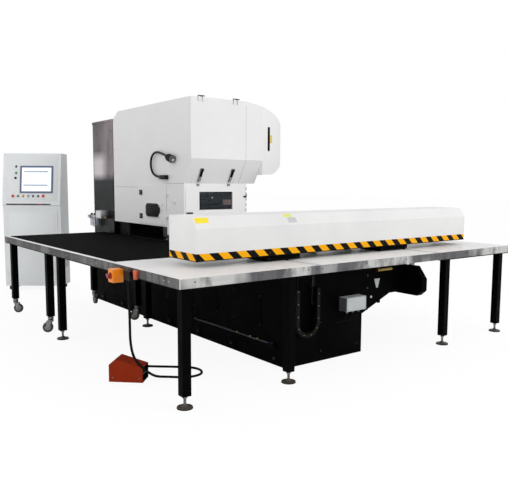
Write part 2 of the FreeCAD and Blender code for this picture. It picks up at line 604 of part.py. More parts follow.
def leg(name, x, y, low):
    return span(name, f"{x}-leg_wide/2", f"{x}+leg_wide/2", f"{y}-leg_wide/2", f"{y}+leg_wide/2",
                low, "table_z-top_thick-rail_high")


def ring_rails(name, x0, x1, y0, y1):
    low = "table_z-top_thick-rail_high"
    high = "table_z-top_thick"
    return [
        span(f"{name}_front", x0, x1, y0, f"{y0}+rail_wide", low, high),
        span(f"{name}_rear", x0, x1, f"{y1}-rail_wide", y1, low, high),
        span(f"{name}_left", x0, f"{x0}+rail_wide", y0, y1, low, high),
        span(f"{name}_right", f"{x1}-rail_wide", x1, y0, y1, low, high),
    ]


def brackets(side, inner, outer, wall):
    """Brackets that hang from an inner rail and bolt to the machine beside it."""
    pieces = []
    for i, y in enumerate((-1800, -700)):
        low, high = sorted((inner, outer), key=sheet_value)
        pieces.append(span(f"{side}_drop_{i}", low, high, y, y + 60, "wall_top-90",
                           "table_z-top_thick-rail_high"))
        low, high = sorted((inner, wall), key=sheet_value)
        pieces.append(span(f"{side}_lug_{i}", low, high, y, y + 60, "wall_top-90", "wall_top"))
    return pieces


LEGS_LEFT = [("table_left+leg_inset", "table_front+leg_inset"),
             ("leg_left_x", "table_front+leg_inset"),
             ("table_left+leg_inset", "leg_mid_y"), ("leg_left_x", "leg_mid_y")]
LEGS_RIGHT = [(x, y) for x in ("leg_right_x", "table_right-leg_inset")
              for y in ("table_front+leg_inset", "leg_mid_y", "table_back-leg_inset")]
LEGS_MODULE = [(x, y) for x in ("table_left+leg_inset", "leg_module_x")
               for y in ("leg_rear_y", "table_back-leg_inset")]


def make_tables():
    under = "table_z-top_thick"
    inner_left = "slot_left-foot_wide/2-14"
    inner_right = "slot_right+foot_wide/2+14"
    x0, x1 = "table_left+edge_thick", "table_right-edge_thick"
    y0, y1 = "table_front+edge_thick", "table_back-edge_thick"
    front_end, rear_start = "split_y-split_gap/2", "split_y+split_gap/2"

    legs = [leg(f"left_leg_{i}", x, y, "foot_high") for i, (x, y) in enumerate(LEGS_LEFT)]
    bar = span("left_cross", x0, inner_left, "leg_mid_y-leg_wide/2", "leg_mid_y+leg_wide/2",
               f"{under}-rail_high", under)
    hold = brackets("left", inner_left, f"{inner_left}-rail_wide", "base_left")
    node("left_table_frame", join("left_frame_solid", legs + [bar] + hold + ring_rails(
        "left_rail", x0, inner_left, y0, front_end)))
    legs = [leg(f"right_leg_{i}", x, y, "foot_high") for i, (x, y) in enumerate(LEGS_RIGHT)]
    bar = span("right_cross", inner_right, x1, "leg_mid_y-leg_wide/2", "leg_mid_y+leg_wide/2",
               f"{under}-rail_high", under)
    hold = brackets("right", inner_right, f"{inner_right}+rail_wide", "slot_right+base_wall/2")
    node("right_table_frame", join("right_frame_solid", legs + [bar] + hold + ring_rails(
        "right_ring", inner_right, x1, y0, y1)))
    legs = [leg(f"module_leg_{i}", x, y, "caster_high") for i, (x, y) in enumerate(LEGS_MODULE)]
    cross = [span(f"module_cross_{i}", x0, inner_left, f"{y}-leg_wide/2", f"{y}+leg_wide/2",
                  f"{under}-rail_high", under) for i, y in enumerate(("leg_rear_y",))]
    cross += [span(f"module_pad_{i}", x, f"{x}+60", front_end, rear_start, f"{under}-rail_high", under)
              for i, x in enumerate((-1300, -900))]
    node("rear_table_frame", join("module_frame_solid", legs + cross + ring_rails(
        "module_rail", x0, inner_left, rear_start, y1)))

    top_left = span("top_left", x0, "slot_left-slot_wide/2", y0, front_end, under, "table_z")
    pit_left = span("pit_left", "table_left+brush_rim", "slot_left-slot_wide/2+1", "strip_back",
                    f"{front_end}+1", "table_z-brush_deep", "table_z+1")
    node("left_table_top", cut("top_left_cut", top_left, [pit_left]))
    top_rear = span("top_rear", x0, "slot_left-slot_wide/2", rear_start, y1, under, "table_z")
    pit_rear = span("pit_rear", "table_left+brush_rim", "slot_left-slot_wide/2+1",
                    f"{rear_start}-1", "table_back-brush_rim", "table_z-brush_deep", "table_z+1")
    node("rear_table_top", cut("top_rear_cut", top_rear, [pit_rear]))
    top_right = span("top_right", "slot_right+slot_wide/2", x1, y0, y1, under, "table_z")
    pit_right = span("pit_right", "slot_right+slot_wide/2-1", "table_right-brush_rim", "strip_back",
                     "table_back-brush_rim", "table_z-brush_deep", "table_z+1")
    node("right_table_top", cut("top_right_cut", top_right, [pit_right]))
    top_centre = prism("top_centre", "Z", [
        ("slot_left+slot_wide/2", y0), ("slot_right-slot_wide/2", y0),
        ("slot_right-slot_wide/2", y1), ("base_right+8", y1), ("base_right+8", "throat_back-6"),
        ("slot_left+slot_wide/2", "throat_back-6")], under, "table_z")
    hole = rod("top_hole", "Z", 0, 0, f"{under}-1", "turret_radius+turret_hole_gap",
               "top_thick+2")
    pit = span("pit_centre", "slot_left+slot_wide/2-1", "slot_right-slot_wide/2+1", "strip_back",
               "turret_plate_y", "table_z-brush_deep", "table_z+1")
    pit_side = span("pit_side", "base_right+8-1", "slot_right-slot_wide/2+1", "turret_plate_y-1",
                    "table_back-brush_rim", "table_z-brush_deep", "table_z+1")
    node("centre_table_top", cut("top_centre_cut", top_centre, [hole, pit, pit_side]))

    low, high = "table_z-brush_deep", "table_z+brush_stand"
    brushes = [
        span("brush_left", "table_left+brush_rim", "slot_left-slot_wide/2", "strip_back", front_end,
             low, high),
        span("brush_rear", "table_left+brush_rim", "slot_left-slot_wide/2", rear_start,
             "table_back-brush_rim", low, high),
        span("brush_right", "slot_right+slot_wide/2", "table_right-brush_rim", "strip_back",
             "table_back-brush_rim", low, high),
        span("brush_centre", "slot_left+slot_wide/2", "slot_right-slot_wide/2", "strip_back",
             "turret_plate_y", low, high),
        span("brush_side", "base_right+8", "slot_right-slot_wide/2", "turret_plate_y",
             "table_back-brush_rim", low, high),
    ]
    node("brush_panels", group("brush_group", brushes))

    feet = []
    for i, (x, y) in enumerate(LEGS_LEFT + LEGS_RIGHT):
        disc = stub(f"foot_disc_{i}", "Z", x, y, 0, "foot_radius", "foot_thick", 14)
        stud = stub(f"foot_stud_{i}", "Z", x, y, "foot_thick", "stud_radius",
                    "foot_high-foot_thick", 6)
        feet.append(join(f"foot_{i}", [disc, stud]))
    node("levelling_feet", group("feet_group", feet))


def make_trims():
    low = "table_z-edge_high"
    gap = 1
    strips = [
        ("front_a", "table_left", f"slot_left-{gap}", "table_front", "table_front+edge_thick"),
        ("front_b", f"slot_left+{gap}", f"slot_right-{gap}", "table_front",
         "table_front+edge_thick"),
        ("front_c", f"slot_right+{gap}", "table_right", "table_front", "table_front+edge_thick"),
        ("left_a", "table_left", "table_left+edge_thick", "table_front+edge_thick",
         "split_y-split_gap/2"),
        ("left_b", "table_left", "table_left+edge_thick", "split_y+split_gap/2", "table_back"),
        ("right_a", "table_right-edge_thick", "table_right", "table_front+edge_thick",
         "table_back"),
        ("back_a", "table_left+edge_thick", "base_left-5", "table_back-edge_thick",
         "table_back"),
        ("back_b", "base_right+8", "table_right-edge_thick", "table_back-edge_thick", "table_back"),
    ]
    pieces = [span(f"trim_{name}", a, b, c, d, low, "table_z") for name, a, b, c, d in strips]
    node("edge_trims", group("trim_group", pieces))


HEADINGS = {"front_left": "heading_back", "rear_left": "heading_across",
            "front_right": "heading_back", "rear_right": 0}


def make_casters():
    """Swivel casters built about the vertical axis of their leg, then stood under it."""
    inner = "(wheel_wide/2+2)"
    axle_y = "-caster_trail"
    for (name, heading), (x, y) in zip(HEADINGS.items(), LEGS_MODULE):
        disc = stub(f"{name}_disc", "Z", 0, 0, "wheel_radius*2+12", "swivel_radius",
                    "caster_high-stem_high-wheel_radius*2-12")
        stem = rod(f"{name}_stem", "Z", 0, 0, "caster_high-stem_high", "stem_radius",
                   "stem_high-near_gap")
        pieces = [disc, stem, span(f"{name}_web", f"-{inner}-fork_thick", f"{inner}+fork_thick",
                             f"{axle_y}-cheek_half", "cheek_half", "wheel_radius*2+6",
                             "wheel_radius*2+14")]
        for side, start in (("a", f"-{inner}-fork_thick"), ("b", inner)):
            pieces.append(prism(f"{name}_cheek_{side}", "X", [
                (f"{axle_y}-cheek_half", "wheel_radius-cheek_half"),
                (f"{axle_y}+cheek_half", "wheel_radius-cheek_half"),
                ("cheek_half", "wheel_radius*2-4"), ("cheek_half", "wheel_radius*2+14"),
                (f"{axle_y}-cheek_half", "wheel_radius*2+14")], start, f"{start}+fork_thick"))
        bore = stub(f"{name}_bore", "X", -60, axle_y, "wheel_radius", "axle_radius+2*near_gap", 120)
        fork = cut(f"{name}_fork_cut", join(f"{name}_fork_solid", pieces), [bore])
        node(f"caster_fork_{name}", turned(fork, x, y, heading))
        tyre = stub(f"{name}_tyre", "X", "-wheel_wide/2", axle_y, "wheel_radius", "wheel_radius",
                    "wheel_wide", 24)
        axle = rod(f"{name}_axle", "X", f"-{inner}-fork_thick", axle_y, "wheel_radius",
                   "axle_radius", f"{inner}+fork_thick")
        nut_end = stub(f"{name}_nut_end", "X", 0, axle_y, "wheel_radius", "axle_radius",
                       f"{inner}+fork_thick")
        wheel = join(f"{name}_wheel_solid", [tyre, axle, nut_end])
        node(f"caster_wheel_{name}", turned(wheel, x, y, heading))


# ---------------------------------------------------------------- cross beam

def make_beam():
    pieces = [span("beam_box", "beam_left", "beam_right", "beam_front", "beam_back", "beam_low",
                   "beam_high")]
    for i, at in enumerate(("guide_low_z", "guide_high_z")):
        pieces.append(span(f"guide_{i}", "guide_left", "guide_right", "beam_back",
                           "beam_back+guide_deep", f"{at}-guide_high/2", f"{at}+guide_high/2"))
    for i, at in enumerate(("bearing_left", "bearing_right-bearing_thick")):
        pieces.append(span(f"bearing_{i}", at, f"{at}+bearing_thick", "beam_back",
                           "beam_back+50", "screw_z-40", "screw_z+40"))
    pieces.append(span("beam_motor", "beam_right-305", "beam_right-105", "cover_ridge+5",
                       "cover_ridge+75", "beam_high", "beam_high+66"))
    sides = (("left", "slot_left", "saddle_left_a", "saddle_left_b"),
             ("right", "slot_right", "saddle_right_a", "saddle_right_b"))
    for side, at, start, end in sides:
        pieces.append(span(f"saddle_{side}", start, end, "saddle_front", "saddle_back",
                           "saddle_low", "beam_low"))
        pieces.append(span(f"web_{side}", f"{at}-rail_foot_wide/2", f"{at}+rail_foot_wide/2",
                           "web_front", "web_back", "foot_top", "saddle_low"))
        pieces.append(span(f"foot_{side}", f"{at}-foot_wide/2", f"{at}+foot_wide/2", "web_front",
                           "web_back", "foot_low", "foot_top"))
    pieces.append(span("drive_nut", "slot_left+foot_wide/2-4", "drive_x+40", "nut_y-nut_half",
                       "nut_y+nut_half", "drive_z-40", "foot_top-10"))
    solid = join("beam_solid", pieces)
    tools = [rod("beam_bore", "X", "bearing_left+5", "screw_y", "screw_z",
                 "screw_radius+fit_gap", "bearing_right-bearing_left-10")]
    for side, at in (("left", "slot_left"), ("right", "slot_right")):
        tools.append(span(f"channel_{side}", f"{at}-rail_foot_wide/2-slide_gap",
                          f"{at}+rail_foot_wide/2+slide_gap", "web_front-1", "web_back+1",
                          "foot_low-1", "wall_top+rail_foot_high+slide_gap"))
    tools.append(rod("nut_bore", "Y", "drive_x", "nut_y-nut_half-1", "drive_z",
                     "drive_radius+near_gap", "2*nut_half+2"))
    node("x_beam", cut("beam_cut", solid, tools))
    screw = rod("x_screw_bar", "X", "bearing_left+5+near_gap", "screw_y", "screw_z",
                "screw_radius", "bearing_right-bearing_left-10-2*near_gap")
    node("x_ball_screw", group("x_screw_group", [screw]))
    drive = rod("y_screw_bar", "Y", "drive_x", "drive_start", "drive_z", "drive_radius",
                "drive_end-drive_start-10")
    node("y_ball_screw", group("y_screw_group", [drive]))


def make_beam_cover():
    outer = prism("cover_outer", "X", [
        ("cover_front", "cover_low"), ("cover_front", "beam_high-shoulder_drop"),
        ("cover_ridge", "beam_high+cover_rise"), ("cover_back", "beam_high+cover_rise"),
        ("cover_back", "cover_low")], "cover_left", "cover_right")
    inner = prism("cover_inner", "X", [
        ("cover_front+sheet", "cover_low-1"), ("cover_front+sheet", "beam_high-shoulder_drop-2"),
        ("cover_ridge+3", "beam_high+cover_rise-sheet"),
        ("cover_back-sheet", "beam_high+cover_rise-sheet"),
        ("cover_back-sheet", "cover_low-1")], "cover_left+sheet", "cover_right-sheet")
    mouth = span("cover_mouth_cut", "cover_left+sheet", "cover_right-sheet", "cover_back-20",
                 "cover_back+1", "cover_low-1", "cover_mouth")
    shell = cut("cover_shell", outer, [inner, mouth])
    ribs = [span(f"cover_rib_{i}", at, f"{at}+10", "cover_ridge+5", "beam_back",
                 "beam_high", "beam_high+cover_rise-sheet") for i, at in enumerate((-1000, 330, 1660))]
    node("beam_cover", join("cover_solid", [shell] + ribs))


def make_carriage():
    front = "plate_back-plate_thick"
    pieces = [span("carriage_plate", "carriage_x-carriage_half", "carriage_x+carriage_half",
                   front, "plate_back", "plate_low", "plate_high")]
    tools = []
    for i, z in enumerate(("guide_low_z", "guide_high_z")):
        for j, sign in enumerate("-+"):
            middle = f"carriage_x{sign}block_x"
            pieces.append(span(f"block_{i}_{j}", f"{middle}-block_half", f"{middle}+block_half",
                               "beam_back+4", front, f"{z}-28", f"{z}+28"))
        tools.append(span(f"block_channel_{i}", "carriage_x-carriage_half-1",
                          "carriage_x+carriage_half+1", "beam_back",
                          "beam_back+guide_deep+slide_gap",
                          f"{z}-guide_high/2-slide_gap", f"{z}+guide_high/2+slide_gap"))
    pieces.append(span("carriage_nut", "carriage_x-50", "carriage_x+50", "beam_back+4", front,
                       "screw_z-32", "screw_z+32"))
    tools.append(rod("carriage_bore", "X", "carriage_x-51", "screw_y", "screw_z",
                     "screw_radius+near_gap", 102))
    for i, sign in enumerate("-+"):
        at = f"carriage_x{sign}clamp_x"
        pieces.append(span(f"clamp_{i}", f"{at}-clamp_half", f"{at}+clamp_half", "plate_back",
                           "clamp_back", "clamp_low", "clamp_high"))
        pieces.append(span(f"tongue_{i}", f"{at}-clamp_half", f"{at}+clamp_half", "clamp_back",
                           "tip_y", "clamp_low", "clamp_low+tongue_thick"))
        tools.append(span(f"clamp_slot_{i}", f"{at}-jaw_half-jaw_side_gap",
                          f"{at}+jaw_half+jaw_side_gap", "jaw_pin_y-25", "clamp_back+1",
                          "jaw_low-6", "jaw_high+40"))
        tools.append(stub(f"clamp_bore_{i}", "X", f"{at}-clamp_half-1", "jaw_pin_y", "jaw_pin_z",
                          "jaw_pin_radius+2*near_gap", "2*clamp_half+2"))
    node("x_carriage", cut("carriage_cut", join("carriage_solid", pieces), tools))
    for side, sign in (("left", "-"), ("right", "+")):
        at = f"carriage_x{sign}clamp_x"
        lever = prism(f"jaw_{side}_lever", "X", [
            ("jaw_pin_y-15", "jaw_low"), ("tip_y", "jaw_low"), ("tip_y", "jaw_low+10"),
            ("tip_y-45", "jaw_high"), ("jaw_pin_y-15", "jaw_high")],
            f"{at}-jaw_half", f"{at}+jaw_half")
        pin = rod(f"jaw_{side}_pin", "X", f"{at}-clamp_half+1", "jaw_pin_y", "jaw_pin_z",
                  "jaw_pin_radius", "2*clamp_half-2")
        node(f"clamp_jaw_{side}", join(f"jaw_{side}_solid", [lever, pin]))


# --------------------------------------------------------- boxes and cables

TUBE_SIDES = 8


def tube_face(centre, along, aside, radius):
    """The face across a tube, turned so that one stretch meets the next corner to corner."""
    across = along.cross(aside)
    corners = []
    for i in range(TUBE_SIDES):
        turn = 2 * math.pi * i / TUBE_SIDES
        corners.append(centre + aside * (radius * math.cos(turn)) + across * (radius * math.sin(turn)))
    return Part.Face(Part.makePolygon(corners + corners[:1]))


def tube(name, points, radius):
    """A tube along straight runs that arcs join, as large as the runs allow."""
    path = [FreeCAD.Vector(*p) for p in points]
    pieces = []
    length = 0
    at = path[0]
    along = (path[1] - path[0]).normalize()
    aside = along.cross(FreeCAD.Vector(1, 0, 0)).normalize()
    for i in range(1, len(path) - 1):
        back = path[i - 1] - path[i]
        ahead = path[i + 1] - path[i]
        reach = 0.45 * min(back.Length, ahead.Length)
        turn = math.pi - back.getAngle(ahead)
        bend = reach / math.tan(turn / 2)
        print(f"{name} bend {i}: radius {bend:.0f} mm, turn {math.degrees(turn):.0f} deg")
        back.normalize()
        ahead.normalize()
        enter = path[i] + back * reach
        middle = back + ahead
        middle.normalize()
        centre = path[i] + middle * math.hypot(reach, bend)
        run = enter - at
        pieces.append(tube_face(at, along, aside, radius).extrude(run))
        axis = ahead.cross(back)
        ring = tube_face(enter, along, aside, radius)
        pieces.append(ring.revolve(centre, axis, math.degrees(turn)))
        length += run.Length + bend * turn
        aside = FreeCAD.Rotation(axis, math.degrees(turn)).multVec(aside)
        along = FreeCAD.Vector(ahead)
        at = path[i] + ahead * reach
    run = path[-1] - at
    end_face = tube_face(at, along, aside, radius)
    pieces.append(end_face.extrude(run))
    length += run.Length
    solid = pieces[0].multiFuse(pieces[1:]).removeSplitter()
    share = solid.Volume / (end_face.Area * length)
    print(f"{name}: length {length:.0f} mm, volume share {share:.4f}")
    thing = doc.addObject("Part::Feature", name)
    thing.Shape = solid
    return thing


def make_boxes():
    case = span("stop_case", "table_left-stop_deep", "table_left", "stop_front", "stop_back",
                "stop_low", "stop_high")
    gland = span("gland_block", "table_left-30", "table_left", "stop_front-gland_off-gland_long",
                 "stop_front-gland_off", "table_z-edge_high-30", "table_z-edge_high+45")
    bore = stub("stop_bore", "X", "table_left-stop_deep-1", "(stop_front+stop_back)/2",
                "(stop_low+stop_high)/2", "stop_radius+2*near_gap", 13, 16)
    case = cut("stop_case_cut", case, [bore])
    cap = prism("plug_cap", "X", [
        ("stop_front-plug_off-plug_long", "table_z-12"), ("stop_front-plug_off", "table_z-12"),
        ("stop_front-plug_off-15", "table_z-80"),
        ("stop_front-plug_off-plug_long+25", "table_z-80")],
        "table_left-22", "table_left")
    node("stop_box", group("stop_group", [case, gland, cap]))
    button = stub("stop_stem", "X", "table_left-stop_deep-near_gap-28",
                  "(stop_front+stop_back)/2", "(stop_low+stop_high)/2", "stop_radius", 28, 16)
    node("stop_button", group("stop_button_group", [button]))
    case = span("junction_case", "junction_left", "junction_right", "base_front-junction_deep",
                "base_front", "junction_low", "junction_high")
    glands = [stub(f"junction_gland_{i}", "Z", f"junction_left+{50 + 75 * i}", "base_front-50",
                   "junction_low-24", 11, 24) for i in range(3)]
    node("junction_box", join("junction_solid", [case] + glands))


def make_chain():
    """The hanging loop of the energy chain and the bracket that holds it."""
    front = "base_front-chain_off-chain_wide"
    back = "base_front-chain_off"
    middle = "(chain_left+chain_right)/2"
    outer = "(chain_right-chain_left)/2"
    centre_z = f"chain_low+{outer}"
    disc = rod("chain_disc", "Y", middle, front, centre_z, outer, "chain_wide")
    eye = rod("chain_eye", "Y", middle, f"{front}-1", centre_z, f"{outer}-chain_thick",
              "chain_wide+2")
    upper = span("chain_upper", "chain_left-1", "chain_right+1", f"{front}-1", f"{back}+1",
                 centre_z, "chain_top+20")
    bend = cut("chain_bend", disc, [eye, upper])
    legs = [span("chain_leg_a", "chain_left", "chain_left+chain_thick", front, back, centre_z,
                 "chain_top"),
            span("chain_leg_b", "chain_right-chain_thick", "chain_right", front, back, centre_z,
                 "chain_top")]
    loop = join("chain_loop", [bend] + legs)
    notches = []
    pitch = 40
    count = int((sheet_value("chain_top") - sheet_value(centre_z)) // pitch)
    for i in range(count):
        for side, x in (("a", "chain_left-1"), ("b", "chain_right-7")):
            notches.append(box(f"notch_{side}_{i}", x, f"{front}-1", f"chain_top-{pitch}*{i + 1}",
                               8, "chain_wide+2", 6))
    links = cut("chain_links", loop, notches)
    bracket = span("chain_bracket", "chain_right-chain_thick", "chain_right-10", back,
                   "base_front", 526, "wall_top")
    holder = span("chain_holder", "chain_left", "chain_left+20", back, "base_front",
                  "chain_top-60", "chain_top")
    node("energy_chain", group("chain_group", [links, bracket, holder]))


def make_pedal():
    long, wide = "pedal_long", "pedal_wide"
    outer = prism("pedal_outer", "Y", [
        (0, "pedal_plate"), (0, "pedal_back"), ("pedal_apex", "pedal_high"), (long, "pedal_nose"),
        (long, "pedal_plate")], 0, wide)
    inner = prism("pedal_inner", "Y", [
        ("pedal_wall", "pedal_plate-1"), ("pedal_wall", "pedal_back-3"),
        ("pedal_apex+2", "pedal_high-pedal_wall-1"), (f"{long}+1", "pedal_nose-pedal_wall"),
        (f"{long}+1", "pedal_plate-1")],
        "pedal_wall", f"{wide}-pedal_wall")
    hood = cut("pedal_hood", outer, [inner])
    plate = box("pedal_plate_block", 0, 0, 0, long, wide, "pedal_plate")
    rests = [box(f"pedal_rest_{i}", 40, y, "pedal_plate", 24, 10, 60)
             for i, y in enumerate((18, f"{wide}-28"))]
    pin = rod("pedal_pin", "Y", "treadle_x", "pedal_wall", "treadle_z", "treadle_pin",
              f"{wide}-2*pedal_wall")
    relief = stub("pedal_relief", "Y", 60, wide, 25, 13, 14)
    body = join("pedal_body_solid", [hood, plate, pin, relief] + rests)
    node("pedal_body", turned(body, "pedal_x", "pedal_y", "pedal_turn"))
    tread = prism("treadle_plate", "Y", [
        (40, 50), (40, 70), (60, 70), (120, 66), (f"{long}-12", 62), (f"{long}-12", 50),
        (120, 54), (60, 50)], 30, f"{wide}-30")
    bore = rod("treadle_bore", "Y", "treadle_x", 20, "treadle_z", "treadle_pin+fit_gap", wide)
    body = cut("treadle_solid", tread, [bore])
    node("pedal_treadle", turned(body, "pedal_x", "pedal_y", "pedal_turn"))


CABLE_ROUTE = [
    (-1735, -1856, 830), (-1735, -1856, 700), (-1731, -1853, 500), (-1735, -1862, 340),
    (-1722, -1892, 225), (-1662, -1915, 145), (-1580, -1898, 75), (-1500, -1853, 28),
    (-1408, -1853, 10), (-1335, -1925, 10), (-1245, -1975, 10), (-1142, -1955, 10),
    (-1090, -1865, 10), (-1105, -1765, 10), (-1180, -1690, 10), (-1270, -1610, 10),
    (-1365, -1533, 10), (-1455, -1461, 13), (-1562, -1464.5, 20), (-1628.66, -1535.97, 25),
    (-1664.04, -1574.01, 25),
]


def make_cable():
    cable = tube("cable_tube", CABLE_ROUTE, sheet_value("cable_radius"))
    node("pedal_cable", cable)


# ------------------------------------------------------------------- console

PUSH_SIZES = {0: "button_radius+4", 1: "button_radius", 2: "button_radius", 6: "button_radius+4"}


def make_console():
    wide = "console_wide"
    profile = [("shelf_out", "console_low"), ("shelf_out", "shelf_z-10"), (0, "shelf_z"),
               (0, "panel_low"), ("panel_lean", "console_high"), ("console_deep", "console_high"),
               ("console_deep", "console_low")]
    case = prism("console_case", "X", profile, 0, wide)
    pads = [stub(f"console_pad_{i}", "Z", x, y, 0, 28, "console_low")
            for i, (x, y) in enumerate((x, y) for x in (60, f"{wide}-60")
                                       for y in ("shelf_out+60", "console_deep-60"))]
    fixed = []
    for i, (across, up, radius) in enumerate((
            ("button_first+button_step*4", "button_row", 12),
            ("button_first+button_step*5", "button_row", 12),
            (190, 540, 14), (190, 445, 14), (183, 372, 14))):
        fixed.append(on_panel(f"panel_stud_{i}", across, up, radius, 12, 0))
    bores = [on_panel(f"push_bore_{i}", f"button_first+button_step*{i}", "button_row",
                      f"{radius}+2*near_gap", 12, "-8") for i, radius in PUSH_SIZES.items()]
    body = cut("console_bored", join("console_solid", [case] + pads + fixed), bores)
    node("console_cabinet", turned(body, "console_x", "console_y", "console_turn"))

    hinge_y = "shelf_out-near_gap-door_thick"
    door = span("console_door_plate", 50, f"{wide}-50", hinge_y, "shelf_out-near_gap",
                "console_low+50", "shelf_z-70")
    lock = span("console_lock", f"{wide}-100", f"{wide}-75", f"{hinge_y}-12", hinge_y, 700, 760)
    barrels = [rod(f"console_barrel_{i}", "Z", 50, f"{hinge_y}", at, "pin_radius-1", 50)
               for i, at in enumerate(("console_low+150", "shelf_z-220"))]
    body = join("console_door_solid", [door, lock] + barrels)
    node("console_door", turned(body, "console_x", "console_y", "console_turn"))

    frame = tilted_box("screen_frame", "screen_left", "screen_low", "screen_right-screen_left",
                       "screen_high-screen_low", 10)
    glass = tilted_box("screen_recess", "screen_left+25", "screen_low+25",
                       "screen_right-screen_left-50", "screen_high-screen_low-50", 4, 7)
    body = cut("screen_solid", frame, [glass])
    node("console_screen", turned(body, "console_x", "console_y", "console_turn"))
    for i, label in ((0, "stop_push"), (1, "start_push"), (2, "reset_push"), (3, "key_switch"),
                     (6, "console_stop")):
        radius = PUSH_SIZES.get(i, "button_radius")
        high = 26 if i in (0, 6) else 14
        knob = on_panel(f"{label}_knob", f"button_first+button_step*{i}", "button_row", radius,
                        high, "near_gap", "Cylinder" if label == "key_switch" else "Prism")
        parts = [knob]
        if label == "key_switch":
            parts.append(tilted_box("key_bow", f"button_first+button_step*{i}-4",
                                    "button_row-12", 8, 24, 14, "near_gap+14"))
        body = join(f"{label}_group", parts) if len(parts) > 1 else group(f"{label}_group", parts)
        node(label, turned(body, "console_x", "console_y", "console_turn"))


def panel_place(across, up, out):
    """Placement text for a thing whose local Z leaves the console's sloping panel."""
    lean = "atan(panel_lean/(console_high-panel_low))"
    y = f"({up})*sin({lean})-({out})*cos({lean})"
    z = f"panel_low+({up})*cos({lean})+({out})*sin({lean})"
    return (f"create(<<placement>>; create(<<vector>>; {bound(across)}; {bound(y)}; {bound(z)}); "
            f"create(<<rotation>>; create(<<vector>>; 1; 0; 0); 90deg-{bound(lean)}))")


def on_panel(name, across, up, radius, high, out, kind="Prism"):
    """A round part on the panel: a true cylinder, or one with flat sides."""
    bar = doc.addObject(f"Part::{kind}", name)
    if kind == "Prism":
        bar.Polygon = 12
    bar.setExpression("Circumradius" if kind == "Prism" else "Radius", bound(radius))
    bar.setExpression("Height", bound(high))
    bar.setExpression("Placement", panel_place(across, up, out))
    return bar


def tilted_box(name, across, up, wide, high, thick, out=0):
    block = doc.addObject("Part::Box", name)
    block.setExpression("Length", bound(wide))
    block.setExpression("Width", bound(high))
    block.setExpression("Height", bound(thick))
    block.setExpression("Placement", panel_place(across, up, out))
    return block


make_base()
make_rail_support()
make_c_frame()
make_turrets()
make_ram()
make_head_cover()
make_hood()
make_latch("hood_latch_left", "latch_left")
make_latch("hood_latch_right", "latch_right")
make_guard()
make_tool_door()
make_side_door()
make_side_housing()
make_lamp()
make_rear_cabinet()
make_air_unit()
make_tables()
make_trims()
make_casters()
make_beam()
make_beam_cover()
make_carriage()
make_boxes()
make_chain()
make_pedal()
make_cable()
make_console()
doc.recompute()

faults = [f"{o.Label}: {o.State}" for o in doc.Objects
          if "Invalid" in o.State or "Error" in o.State]
for label, thing in NODES.items():
    shape = thing.Shape
    if shape.isNull() or not shape.isValid() or not shape.Solids:
        faults.append(f"{label}: no valid solid")
if faults:
    raise RuntimeError("\n".join(faults))
os.makedirs("parts", exist_ok=True)
for label, thing in NODES.items():
    thing.Shape.exportStep(f"parts/{label}.step")
print(len(NODES), "pieces written")
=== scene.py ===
import json
from itertools import product
from math import atan, atan2, cos, hypot, pi, radians, sin
import bmesh
import bpy
from mathutils import Matrix, Vector

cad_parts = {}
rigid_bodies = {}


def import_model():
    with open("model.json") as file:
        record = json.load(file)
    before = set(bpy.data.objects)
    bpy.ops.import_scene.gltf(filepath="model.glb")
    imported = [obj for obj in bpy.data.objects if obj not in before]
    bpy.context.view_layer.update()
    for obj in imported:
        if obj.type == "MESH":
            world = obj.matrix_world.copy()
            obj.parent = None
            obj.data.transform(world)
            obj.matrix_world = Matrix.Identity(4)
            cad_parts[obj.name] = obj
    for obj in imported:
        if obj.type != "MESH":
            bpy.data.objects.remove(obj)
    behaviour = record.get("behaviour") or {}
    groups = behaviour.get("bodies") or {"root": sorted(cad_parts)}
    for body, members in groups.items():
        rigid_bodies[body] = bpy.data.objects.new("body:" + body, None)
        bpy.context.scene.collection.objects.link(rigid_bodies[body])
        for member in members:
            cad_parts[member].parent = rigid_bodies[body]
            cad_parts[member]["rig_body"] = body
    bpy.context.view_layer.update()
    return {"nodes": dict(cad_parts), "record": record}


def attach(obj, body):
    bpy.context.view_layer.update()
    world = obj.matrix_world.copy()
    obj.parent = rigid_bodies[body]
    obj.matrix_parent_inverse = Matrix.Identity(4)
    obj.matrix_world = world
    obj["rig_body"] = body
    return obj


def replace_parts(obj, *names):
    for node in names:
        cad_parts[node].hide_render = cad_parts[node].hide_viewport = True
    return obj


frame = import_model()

SLOTS = {s["node"]: s["material_slot"] for s in frame["record"]["subparts"]}
scene = bpy.context.scene
UP, DOWN, BACK, FRONT, RIGHT, LEFT = (
    (0, 0, 1), (0, 0, -1), (0, 1, 0), (0, -1, 0), (1, 0, 0), (-1, 0, 0))


# --- materials

def tone(r, g, b):
    """A colour as a screen shows it, 0 to 255, turned into scene light."""
    return tuple((c / 255 / 12.92) if c < 10 else ((c / 255 + 0.055) / 1.055) ** 2.4
                 for c in (r, g, b)) + (1,)


def scaled(colour, by):
    return tuple(min(1, c * by) for c in tone(*colour)[:3]) + (1,)


